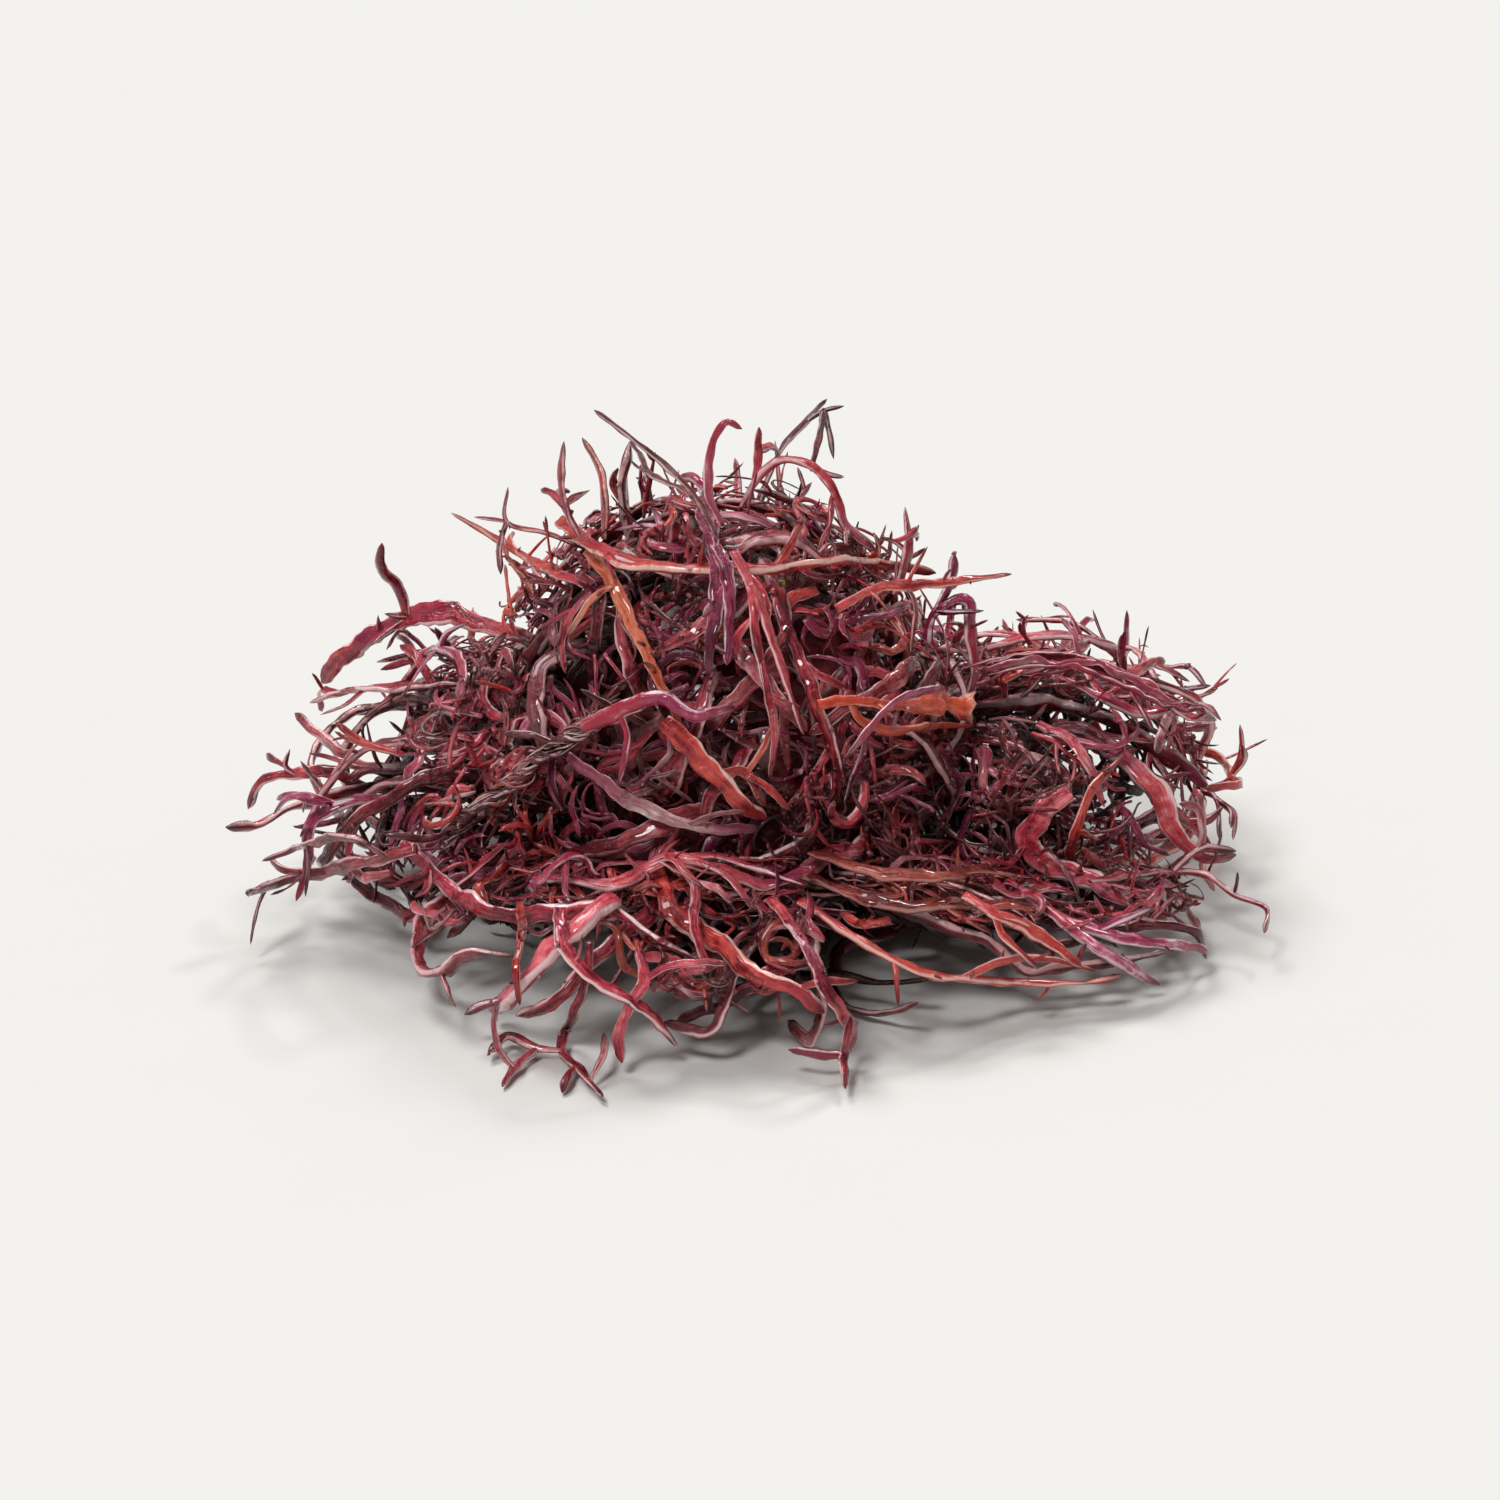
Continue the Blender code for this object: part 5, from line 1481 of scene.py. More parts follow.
class Skein:
    """A piece while it is made: the faces of its strands, and what each point carries."""

    def __init__(self) -> None:
        """Starts with nothing in it."""
        self.places: list[np.ndarray] = []
        self.faces: list[np.ndarray] = []
        self.marks: dict[str, list[np.ndarray]] = {mark: [] for mark in MARKS}
        self.count = 0

    def add(self, places: np.ndarray, faces: list[np.ndarray], marks: dict) -> None:
        """Adds a closed shape.

        Args:
            places: its points, in millimetres.
            faces: its faces, in one array for each number of corners.
            marks: what its points carry, as one number or a row of them. The rest is 0.
        """
        self.places.append(places)
        self.faces += [group + self.count for group in faces]
        for mark, rows in self.marks.items():
            rows.append(np.broadcast_to(np.float32(marks.get(mark, 0.0)), len(places)))
        self.count += len(places)

    def sweep(self, course: Course, profile: Profile, rng: random.Random, fewest: int = 5) -> None:
        """Adds a strand along its course, with this many sides or more."""
        loops, carried = Tube(course, profile, rng, fewest).loops()
        self.close(loops, carried, rng.uniform(-1, 1))

    def close(self, loops: np.ndarray, carried: dict[str, np.ndarray], tint: float) -> None:
        """Adds loops of points as one closed tube.

        Args:
            loops: the loops.
            carried: what their points carry.
            tint: the strand's own tint, from -1 to 1.
        """
        rows, sides = loops.shape[:2]
        number = np.arange(rows * sides).reshape(rows, sides)
        after = np.roll(number, -1, axis=1)
        walls = np.stack([number[:-1], after[:-1], after[1:], number[1:]], axis=2).reshape(-1, 4)
        places = np.concatenate([loops.reshape(-1, 3), loops[:1].mean(1), loops[-1:].mean(1)])
        root, tip = rows * sides, rows * sides + 1
        roots = np.stack([after[0], number[0], np.full(sides, root)], axis=1)
        tips = np.stack([number[-1], after[-1], np.full(sides, tip)], axis=1)
        carried = {
            mark: np.concatenate([values.ravel(), [values[0].mean(), values[-1].mean()]])
            for mark, values in carried.items()
        }
        carried["tint"] = np.full(len(places), tint)
        # Painted shade: the deeper a point lies under the heap's skin, the darker it is painted.
        depth = np.clip((depth_under_skin(places) + 0.5) / SHADE_DEPTH, 0, 1)
        carried["buried"] = depth**SHADE_POWER
        self.add(places, [walls, np.concatenate([roots, tips])], carried)

    def finished(self, name: str, finish: "Finish") -> bpy.types.Object:
        """Makes the piece an object.

        Args:
            name: its name.
            finish: its finish.

        Returns:
            The object, which rides on the body.
        """
        mesh = bpy.data.meshes.new(name)
        places = np.concatenate(self.places) * MM
        mesh.vertices.add(len(places))
        mesh.vertices.foreach_set("co", places.astype(np.float32).ravel())
        loops = np.concatenate([group.ravel() for group in self.faces])
        totals = np.concatenate([np.full(len(group), group.shape[1]) for group in self.faces])
        mesh.loops.add(len(loops))
        mesh.loops.foreach_set("vertex_index", loops.astype(np.int32))
        mesh.polygons.add(len(totals))
        starts = np.concatenate([[0], np.cumsum(totals)[:-1]])
        mesh.polygons.foreach_set("loop_start", starts.astype(np.int32))
        mesh.update(calc_edges=True)
        mesh.shade_smooth()
        for mark, rows in self.marks.items():
            attribute = mesh.attributes.new(mark, "FLOAT", "POINT")
            attribute.data.foreach_set("value", np.concatenate(rows).astype(np.float32))
        mesh.materials.append(finish.material())
        piece = bpy.data.objects.new(name, mesh)
        bpy.context.scene.collection.objects.link(piece)
        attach(piece, "root")
        log.info("%s: %d triangles", name, int((totals - 2).sum()))
        return piece


Colour = tuple[float, float, float]


class Flow:
    """A socket's value in a material. A sum on it in Python adds the Math node for it."""

    def __init__(self, graph: "Graph", socket: bpy.types.NodeSocket) -> None:
        """Keeps the graph that the socket is in."""
        self.graph = graph
        self.socket = socket

    def math(self, operation: str, *values: "Flow | float") -> "Flow":
        """Adds a Math node on values."""
        return self.graph.node("ShaderNodeMath", {"operation": operation}, dict(enumerate(values)))

    def __add__(self, other: "Flow | float") -> "Flow":
        """Adds."""
        return self.math("ADD", self, other)

    def __radd__(self, other: float) -> "Flow":
        """Adds, from the right."""
        return self.math("ADD", other, self)

    def __sub__(self, other: "Flow | float") -> "Flow":
        """Takes away."""
        return self.math("SUBTRACT", self, other)

    def __rsub__(self, other: float) -> "Flow":
        """Is taken away from a number."""
        return self.math("SUBTRACT", other, self)

    def __mul__(self, other: "Flow | float") -> "Flow":
        """Multiplies."""
        return self.math("MULTIPLY", self, other)

    def __abs__(self) -> "Flow":
        """Takes the absolute value."""
        return self.math("ABSOLUTE", self)

    def between(self, low: float, high: float) -> "Flow":
        """Eases from 0 at a low value to 1 at a high one."""
        ends = {"Value": self, "From Min": low, "From Max": high}
        return self.graph.node("ShaderNodeMapRange", {"interpolation_type": "SMOOTHSTEP"}, ends)


class Graph:
    """A material's nodes."""

    def __init__(self, name: str) -> None:
        """Starts a material of this name, with its shader."""
        self.result = bpy.data.materials.new(name)
        self.result.use_nodes = True
        self.tree = self.result.node_tree
        self.shader = self.tree.nodes["Principled BSDF"]

    def node(
        self, kind: str, settings: dict | None = None, inputs: dict | None = None, output: int = 0
    ) -> Flow:
        """Adds a node.

        Args:
            kind: its type.
            settings: its own settings, among them the stops of a ramp, as (place, colour).
            inputs: the values or links of its sockets, by name or number.
            output: the number of the socket that is wanted.

        Returns:
            The value of that socket.
        """
        node = self.tree.nodes.new(kind)
        for setting, value in (settings or {}).items():
            if setting == "stops":
                ramp = node.color_ramp.elements
                while len(ramp) < len(value):
                    ramp.new(1.0)
                for stop, (place, colour) in zip(ramp, value):
                    stop.position = place
                    stop.color = (*colour, 1)
            else:
                setattr(node, setting, value)
        for socket, value in (inputs or {}).items():
            self.feed(node.inputs[socket], value)
        return Flow(self, node.outputs[output])

    def feed(self, socket: bpy.types.NodeSocket, value: "Flow | float | Sequence") -> None:
        """Gives a socket a link or a value."""
        if isinstance(value, Flow):
            self.tree.links.new(value.socket, socket)
        elif isinstance(value, tuple) and socket.type == "RGBA":
            socket.default_value = (*value, 1)
        else:
            socket.default_value = value

    def mark(self, name: str) -> Flow:
        """Reads a value that the piece's points carry."""
        return self.node("ShaderNodeAttribute", {"attribute_name": name}, output=2)

    def noise(self, place: Flow, scale: float, detail: float = 2.0) -> Flow:
        """Adds a noise pattern, from 0 to 1, that is read at coordinates."""
        ends = {"Vector": place, "Scale": scale, "Detail": detail}
        return self.node("ShaderNodeTexNoise", None, ends)

    def mix(self, first: Flow | Colour, second: Flow | Colour, share: Flow | float) -> Flow:
        """Mixes two colours by the share of the second."""
        return self.node("ShaderNodeMix", {"data_type": "RGBA"}, {0: share, 6: first, 7: second}, 2)

    def vector(self, *values: Flow) -> Flow:
        """Joins three values into coordinates."""
        return self.node("ShaderNodeCombineXYZ", None, dict(enumerate(values)))

    def finished(self, inputs: dict[str, Flow | float | Colour]) -> bpy.types.Material:
        """Feeds the shader's inputs, and gives the material."""
        for socket, value in inputs.items():
            self.feed(self.shader.inputs[socket], value)
        return self.result


@dataclass(frozen=True)
class Finish:
    """The skin of dried funori in one tone: its colours, and how it shines."""

    tone: str
    deep: Colour
    mid: Colour
    bright: Colour
    # The rim colour is that of the painted highlights along the strands' edges, and also the palest
    # stop of the tone's ramp; the rim share is how strongly those highlights are painted.
    rim: Colour
    partner: Colour
    rough: float = 0.18
    coat: float = 0.65
    rim_highlight_share: float = 0.85
    crust: float = 0.10
    slot: str = ""

    def material(self) -> bpy.types.Material:
        """Gives the material of this tone, which is made once."""
        name = f"funori_{self.tone}"
        return bpy.data.materials.get(name) or self.made(name)

    def made(self, name: str) -> bpy.types.Material:
        """Makes the material.

        Args:
            name: its name.

        Returns:
            The material.
        """
        graph = Graph(name)
        place = graph.node("ShaderNodeTexCoord", output=3)
        along, across, tint = graph.mark("along"), graph.mark("across"), graph.mark("tint")
        lengthwise = graph.vector(along * 0.16, across * 0.85, tint * 23.0)
        crosswise = graph.vector(along * 1.1, across * 0.55, tint * 31.0)
        blotch = graph.noise(place, 210.0, 3.0)
        mottle = graph.noise(place, 1300.0, 4.0)
        streak = graph.noise(lengthwise, 2.4, 4.0)
        crease = graph.noise(crosswise, 1.3, 3.0)
        tone = blotch * 0.36 + streak * 0.40 + mottle * 0.14 + crease * 0.10 + tint * 0.085
        stops = [(0.39, self.deep), (0.47, self.mid), (0.58, self.bright), (0.71, self.rim)]
        skin = graph.node("ShaderNodeValToRGB", {"stops": stops}, {0: tone})
        patch = graph.noise(place, 95.0, 2.0) + tint * 0.12
        skin = graph.mix(skin, self.partner, patch.between(0.50, 0.68) * 0.75)
        # Painted highlights: pale lines in the rim colour along the strands' edges, where light
        # would catch them, broken up by noise; the torn mouth's marked edge takes the rim colour as
        # well.
        edge_highlight = abs(across).between(0.83, 0.95) * (blotch + mottle * 0.5).between(0.53, 0.71)
        pale = edge_highlight * self.rim_highlight_share + graph.mark("pale") * 0.8
        skin = graph.mix(skin, self.rim, pale)
        specks = graph.noise(place, 2600.0, 1.0).between(0.70, 0.76)
        dust = specks * graph.noise(place, 160.0, 2.0).between(0.52, 0.66)
        skin = graph.mix(skin, CRUST, dust * (self.crust * 4))
        # Painted shade: the colour falls towards the shade colour in the grooves and with depth in
        # the heap; the burnt tips darken too, which is their own colour.
        shade_and_burn_factor = 1.0 - graph.mark("groove") * GROOVE_SHADE
        shade_and_burn_factor = shade_and_burn_factor * (1.0 - graph.mark("buried") * BURIED_SHADE)
        burnt = graph.mark("tip") * blotch.between(0.35, 0.60) * 0.85
        shade_and_burn_factor = shade_and_burn_factor * (1.0 - burnt)
        relief = crease * 0.9 + graph.noise(lengthwise, 5.5, 3.0) * 0.8 + mottle * 0.5
        bump = {"Height": relief, "Strength": 0.60, "Distance": 0.00045}
        # The base colour is mixed towards the painted shade colour, and the coat's gloss is taken
        # away with it.
        return graph.finished({
            "Base Color": graph.mix(SHADE, skin, shade_and_burn_factor),
            "Roughness": self.rough + mottle * 0.20 + crease * 0.10 + dust * 0.3 - 0.11,
            "Coat Weight": shade_and_burn_factor * self.coat,
            "Coat Roughness": 0.06,
            "Specular IOR Level": 0.36,
            "Specular Tint": (1.0, 0.72, 0.74),
            "Normal": graph.node("ShaderNodeBump", None, bump),
        })


# Colours are linear. The crust is the pale grit on the skin, and the shade is the colour painted
# where no light gets, deep in the heap and in the grooves.
CRUST: Colour = (0.66, 0.58, 0.52)
SHADE: Colour = (0.012, 0.0006, 0.0008)
MAROON: Colour = (0.400, 0.020, 0.036)
CRIMSON: Colour = (0.540, 0.028, 0.062)
BRICK: Colour = (0.580, 0.046, 0.040)
RUST: Colour = (0.280, 0.034, 0.022)
PLUM: Colour = (0.250, 0.015, 0.064)
INK: Colour = (0.070, 0.004, 0.010)

FINISHES = {
    finish.tone: finish
    for finish in (
        Finish(
            "maroon", (0.110, 0.003, 0.008), MAROON, (0.74, 0.108, 0.128), (0.95, 0.66, 0.66), PLUM
        ),
        Finish(
            "crimson", (0.160, 0.005, 0.016), CRIMSON, (0.82, 0.165, 0.195),
            (0.95, 0.72, 0.72), PLUM, slot="brick",
        ),
        Finish(
            "wine", (0.085, 0.003, 0.018), (0.290, 0.018, 0.072), (0.58, 0.12, 0.21),
            (0.94, 0.72, 0.76), MAROON,
        ),
        Finish(
            "plum", (0.070, 0.002, 0.016), (0.250, 0.010, 0.060), (0.46, 0.060, 0.135),
            (0.95, 0.76, 0.80), MAROON, rough=0.14, slot="wine",
        ),
        Finish(
            "brick", (0.230, 0.008, 0.012), BRICK, (0.76, 0.120, 0.085), (0.95, 0.62, 0.54), CRIMSON
        ),
        Finish(
            "rust", (0.120, 0.008, 0.007), RUST, (0.46, 0.088, 0.052), (0.84, 0.48, 0.41),
            MAROON, rim_highlight_share=0.45, crust=0.2,
        ),
        Finish(
            "ember", (0.360, 0.018, 0.008), (0.62, 0.056, 0.020), (0.78, 0.130, 0.056),
            (0.95, 0.50, 0.36), BRICK, rough=0.16, slot="rust", crust=0.0,
        ),
        Finish(
            "amber", (0.58, 0.095, 0.040), (0.84, 0.225, 0.125), (0.92, 0.50, 0.37),
            (0.95, 0.76, 0.64), (0.66, 0.150, 0.060), rough=0.34, rim_highlight_share=0.5,
        ),
        Finish(
            "umber", (0.030, 0.002, 0.004), (0.110, 0.011, 0.016), (0.34, 0.110, 0.115),
            (0.82, 0.62, 0.60), INK, rough=0.26, crust=0.2,
        ),
        Finish(
            "taupe", (0.130, 0.030, 0.034), (0.28, 0.090, 0.092), (0.48, 0.25, 0.24),
            (0.86, 0.70, 0.67), PLUM, rough=0.40, coat=0.05,
        ),
        Finish(
            "dark", (0.045, 0.0012, 0.004), (0.200, 0.009, 0.018), (0.52, 0.080, 0.100),
            (0.88, 0.56, 0.57), INK, crust=0.05,
        ),
        Finish(
            "moss", (0.040, 0.060, 0.006), (0.110, 0.160, 0.016), (0.24, 0.30, 0.05),
            (0.50, 0.55, 0.22), INK, slot="umber",
        ),
    )
}


def in_outline(place: Vector) -> bool:
    """Tells whether a place is seen in the thick of the heap from the front."""
    across, rise, _ = VIEW.sight(place)
    inside = False
    for (left, low), (right, high) in zip(MASS_OUTLINE, [*MASS_OUTLINE[1:], MASS_OUTLINE[0]]):
        if (low > rise) != (high > rise):
            inside ^= across < left + (rise - low) * (right - left) / (high - low)
    return inside


class Crowd:
    """What the thin strands keep clear of: balls along everything that is laid."""

    def __init__(self, balls: Iterable[Ball], fronds: Sequence[Frond]) -> None:
        """Starts with the balls of the solids, and where the shown fronds are seen."""
        self.balls = list(balls)
        self.settle()
        names = {shown.name for shown in SHOWN}
        self.seen = [
            (VIEW.sight(start.middle.lerp(end.middle, share)), start.width)
            for frond in fronds
            if frond.name in names
            for strand in frond.strands
            for start, end in strand.ends()
            for share in (0.0, 0.33, 0.67)
        ]
        self.sights = search_tree([(sight.x, sight.y, 0) for sight, _ in self.seen])

    def hides(self, place: Vector, half: float) -> bool:
        """Tells whether a ball would stand in front of a shown frond.

        Args:
            place: its middle.
            half: its radius.

        Returns:
            Whether it would.
        """
        sight = VIEW.sight(place)
        for _, number, distance in self.sights.find_range((sight.x, sight.y, 0), half + 2.0):
            shown, wide = self.seen[number]
            if distance < half + 0.9 * wide and sight.z < shown.z:
                return True
        return False

    def settle(self) -> None:
        """Takes in the balls that were added since the last time."""
        self.tree = search_tree([middle for middle, _ in self.balls])

    def gap(self, place: Vector, radius: float) -> float:
        """Measures a ball's gap to what is laid, at most as far as the search reaches."""
        found = self.tree.find_range(place, radius + CROWD_REACH)
        near = [distance - self.balls[number][1] for _, number, distance in found]
        return min(near, default=radius + CROWD_REACH) - radius


@dataclass(frozen=True)
class Layer:
    """A layer of thin fronds: how many, how deep, and their sizes in millimetres."""

    name: str
    count: int
    depth: tuple[float, float]
    width: tuple[float, float]
    length: tuple[float, float]
    forks: tuple[int, int]
    curl: float = 0.22
    spread: float = 1.0


@dataclass(frozen=True)
class Zone:
    """A part of the front view, as (across, rise) ranges, and how many wires show there."""

    across: tuple[float, float]
    rise: tuple[float, float]
    count: int = 0

    def holds(self, across: float, rise: float) -> bool:
        """Tells whether a sight is in it."""
        return self.across[0] < across < self.across[1] and self.rise[0] < rise < self.rise[1]


# Where the crust and the pale grit are, and how much of each.
CRUSTY = (
    Zone((-28, -25), (24, 27), 90), Zone((-11, -5), (26, 32), 130), Zone((2, 14), (5, 16), 170),
    Zone((22, 36), (7, 15), 130), Zone((-30, -14), (8, 18), 90), Zone((-6, -1), (20, 27), 60),
    Zone((-40, 46), (-8, 44), 260),
)
GRITTY = (
    Zone((-11, -5), (26, 32), 40), Zone((-24, -13), (10, 18), 50), Zone((-6, 14), (4, 26), 150),
    Zone((18, 40), (-2, 14), 70), Zone((-30, -18), (-14, 0), 30), Zone((-40, 46), (-8, 44), 120),
)

# The fronds whose tone differs from their solid's, the share of their solid's width that some keep,
# and those that are bundles of strands.
TONES = {
    "front_cord": "crimson", "red_bud": "crimson", "pink_leg": "crimson",
    "crimson_leaf": "crimson", "right_ridge": "maroon", "right_middle": "crimson",
    "trumpet": "ember", "frond_06": "crimson", "frond_12": "maroon", "orange_slip": "brick",
    "left_back_blade": "maroon", "purple_ribbon": "maroon", "left_toe": "dark",
    "left_back_tip": "dark", "front_sprig": "dark", "hooked_tip": "dark", "right_curtain": "maroon",
    "magenta_knot": "plum", "plum_toe": "plum", "grape_band": "plum",
}
WIDTHS = {
    "taupe_ribbon": 0.68, "rose_blade": 0.76, "amber_strip": 0.78, "left_back_blade": 0.78,
    "crimson_leaf": 0.80, "right_curtain": 0.80, "rust_fingers": 0.68, "upper_finger": 0.68,
    "purple_ribbon": 0.75, "red_arm": 0.66, "plum_toe": 0.85, "magenta_knot": 0.76,
}
BUNDLED = ("right_ridge", "right_middle", "right_curtain", "centre_bundle", "long_fall")

# Where the floor shows through the heap, and the share of the thin fronds that grow there.
THIN_ZONES = (
    Zone((24, 44), (4, 21)), Zone((-38, -30), (18, 34)), Zone((-42, -32), (0, 16)),
)
THIN_SHARE = 0.2


@dataclass
class ThinGrowth:
    """Grows thin strands in the room that is left."""

    crowd: Crowd
    rng: random.Random

    def grown(
        self, start: Vector, way: Vector, half: float, length: float, depth: float, curl: float
    ) -> list[Vector]:
        """Grows the line of a strand.

        Args:
            start: where it starts.
            way: the way that it starts.
            half: its half-width.
            length: its length at most.
            depth: how far outside the heap's skin it runs, negative inside.
            curl: how much it turns, in radians a step.

        Returns:
            Its places.
        """
        rng = self.rng
        points = [start]
        step = rng.uniform(*THIN_STEP)
        crossing = rng.random() < CROSSING_SHARE
        turn = rng.uniform(-curl, curl)
        for _ in range(max(2, round(length / step))):
            place = points[-1]
            out = outward(place)
            turn += rng.gauss(0, curl / 3)
            turn = max(-2 * curl, min(2 * curl, turn))
            way = Quaternion(out, turn) @ way
            wanted = (depth - skin_gap(place)) / THIN_SKIN_REACH
            wanted = max(-THIN_STEEPEST, min(THIN_STEEPEST, wanted))
            way = (way + out * ((wanted - way.dot(out)) * THIN_SKIN_PULL)).normalized()
            best, best_gap = way, -math.inf
            for tilt in THIN_TILTS:
                axis = Quaternion(way, rng.uniform(0, math.tau)) @ way.orthogonal()
                tried = Quaternion(axis.normalized(), tilt) @ way
                ahead = place + tried * step
                if ahead.z < half + 0.2 or (depth < UPRIGHT_DEPTH and not in_outline(ahead)):
                    continue
                if not crossing and self.crowd.hides(ahead, half):
                    continue
                gap = self.crowd.gap(ahead, half) - tilt * TILT_COST
                if gap > best_gap:
                    best, best_gap = tried, gap
                if gap > THIN_GAP:
                    break
            if best_gap < -THIN_SQUEEZE:
                break
            way = best
            points.append(place + way * step)
        return points

    def branched(self, skein: Skein, layer: Layer, start: Vector, build: Build) -> None:
        """Grows a thin frond with its forks and twigs into a piece.

        Args:
            skein: the piece.
            layer: the sizes of its layer.
            start: where it starts.
            build: how it has dried.
        """
        rng = self.rng
        out = outward(start)
        downhill = Vector((start.x, start.y, -6.0))
        downhill = (downhill - out * downhill.dot(out)).normalized()
        way = Quaternion(out, rng.gauss(0, layer.spread)) @ downhill
        if layer.depth[0] >= UPRIGHT_DEPTH:
            way = (way + out * rng.uniform(0.8, 3.0)).normalized()
        half = rng.uniform(*layer.width) / 2
        depth = rng.uniform(*layer.depth)
        curl = layer.curl
        points = self.grown(start, way, half, rng.uniform(*layer.length), depth, curl)
        if len(points) < SHORTEST_THIN:
            return
        lines = [(points, half)]
        for _ in range(rng.randint(*layer.forks)):
            host, wide = rng.choice(lines[:3])
            root = rng.randrange(1, len(host) - 2)
            along = (host[root + 1] - host[root]).normalized()
            leaning = math.radians(rng.uniform(25, 65)) * rng.choice((-1, 1))
            way = (Quaternion(outward(host[root]), leaning) @ along).normalized()
            slim = max(SLIMMEST_SIDE, wide * rng.uniform(0.5, 0.85))
            length = rng.uniform(0.25, 0.6) * rng.uniform(*layer.length)
            side = self.grown(host[root], way, slim, length, depth + rng.uniform(-1, 2), curl * 1.4)
            if len(side) >= SHORTEST_SIDE:
                lines.append((side, slim))
        for line, wide in lines:
            skein.sweep(Course.of_points(line, wide), build.value, rng)
            self.crowd.balls += [(point, wide) for point in line[1:]]
            self.twigs(skein, line, wide, build)

    def twigs(self, skein: Skein, line: list[Vector], half: float, build: Build) -> None:
        """Adds short thorns along a strand.

        Args:
            skein: the piece.
            line: the strand's places.
            half: its half-width.
            build: how it has dried.
        """
        rng = self.rng
        for number, (place, ahead) in enumerate(zip(line[1:], line[2:])):
            chance = TINE_CHANCE if number >= 0.65 * len(line) else TWIG_CHANCE
            if rng.random() > chance * (ahead - place).length:
                continue
            along = (ahead - place).normalized()
            way = Quaternion(along, rng.uniform(0, math.tau)) @ along.orthogonal().normalized()
            way = (way + along * rng.uniform(-0.1, 0.9) + outward(place) * 0.5).normalized()
            length = rng.uniform(*TWIG_LENGTH)
            bend = Vector([rng.gauss(0, 0.5) for _ in range(3)])
            points = [place]
            for share in (0.3, 0.55, 0.8, 1.0):
                points.append(place + (way + bend * share) * (length * share))
            if min(point.z for point in points) < TWIG_LOWEST:
                continue
            slim = min(TWIG_HALF[1], half * rng.uniform(0.4, 0.75))
            slim = max(TWIG_HALF[0], slim)
            skein.sweep(Course.of_points(points, slim, 0.35), build.value, rng)


@dataclass
class FineFrond:
    """One frond, dressed: every strand of its solid as a wrinkled tube, with thorns."""

    frond: Frond
    growth: ThinGrowth

    def build(self) -> bpy.types.Object:
        """Makes the piece, which replaces the frond's solid.

        Returns:
            The piece.
        """
        rng = random.Random("fine " + self.frond.name)
        build = BUILDS.get(self.frond.name, Build.COLLAPSED)
        skein = Skein()
        for strand in self.frond.strands:
            self.dressed(skein, strand, build, rng)
            line = [ring.middle for ring in strand.rings]
            thorns = ThinGrowth(self.growth.crowd, rng)
            thorns.twigs(skein, line, strand.rings[0].width, Build.COLLAPSED)
        tone = TONES.get(self.frond.name, self.frond.colour)
        piece = skein.finished("fine_" + self.frond.name, FINISHES[tone])
        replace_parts(piece, self.frond.name)
        self.compare(piece)
        return piece

    def dressed(self, skein: Skein, strand: Strand, build: Build, rng: random.Random) -> None:
        """Adds one of the frond's strands.

        Args:
            skein: the piece.
            strand: the strand.
            build: how it has dried.
            rng: what it is drawn from.
        """
        line = Course.of_strand(strand, rng, WIDTHS.get(self.frond.name, SLIMMED))
        skein.sweep(line, build.value, rng, 10)

    def compare(self, piece: bpy.types.Object) -> None:
        """Reports how far the piece's box is from its node's."""
        low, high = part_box(self.frond.name)
        corners = np.array([vertex.co for vertex in piece.data.vertices])
        off = max(
            float(np.abs(corners.min(0) - np.array(low)).max()),
            float(np.abs(corners.max(0) - np.array(high)).max()),
        )
        log.info("%s: its box is within %.1f mm of its node's", piece.name, off / MM)


@dataclass(frozen=True)
class Ply:
    """How one strand of a bundle runs round the bundle's line.

    Its span is in shares of the line, its radius is a share of the line's half-width, its own
    half-width is in millimetres, and its end stands off by the fray.
    """

    turn: float
    twist: float
    span: tuple[float, float]
    radius: float
    half: float
    fray: float = 0.0

    def course(self, line: Course, rng: random.Random) -> Course:
        """Lays the strand.

        Args:
            line: the bundle's line.
            rng: what its wander is drawn from.

        Returns:
            The strand's own line.
        """
        rows = len(line.places) - 1
        start, end = self.span
        shares = np.linspace(0, 1, max(9, round(5 * rows * (end - start))))
        at = (start + (end - start) * shares) * rows
        middle, _, face, side = line.framed(at)
        length = np.linalg.norm(np.diff(line.places, axis=0), axis=1).sum()
        along = at / rows * length
        angle = math.tau * (self.turn + self.twist * along) + 0.8 * waves(along, rng, 6.0)
        away = self.radius * np.interp(at, np.arange(rows + 1), line.halves)
        away = away + self.fray * shares**3
        ring = side * np.cos(angle)[:, None] + face * (0.65 * np.sin(angle))[:, None]
        halves = self.half * np.interp(shares, (0, 0.15, 0.8, 1), (0.5, 1, 1, 0.45))
        return Course(middle + ring * away[:, None], unit(ring), halves)


@dataclass
class Bundle(FineFrond):
    """A wide frond, dressed as narrower strands that lie side by side and cross."""

    widest_single: float = 0.95
    count: int = 5

    def dressed(self, skein: Skein, strand: Strand, build: Build, rng: random.Random) -> None:
        """Adds one of the frond's strands, as a bundle where it is wide."""
        line = Course.of_strand(strand, rng)
        wide = float(line.halves.mean())
        if wide < self.widest_single:
            skein.sweep(line, build.value, rng, 10)
            return
        for number in range(self.count):
            span = (rng.uniform(0, 0.12), rng.uniform(0.78, 1.0))
            half = wide * rng.uniform(0.24, 0.40)
            radius = rng.uniform(0.5, 0.9)
            turn = number / self.count + rng.uniform(-0.06, 0.06)
            ply = Ply(turn, rng.uniform(-0.015, 0.015), span, radius, half, rng.uniform(0, 1.2))
            skein.sweep(ply.course(line, rng), build.value, rng, 8)


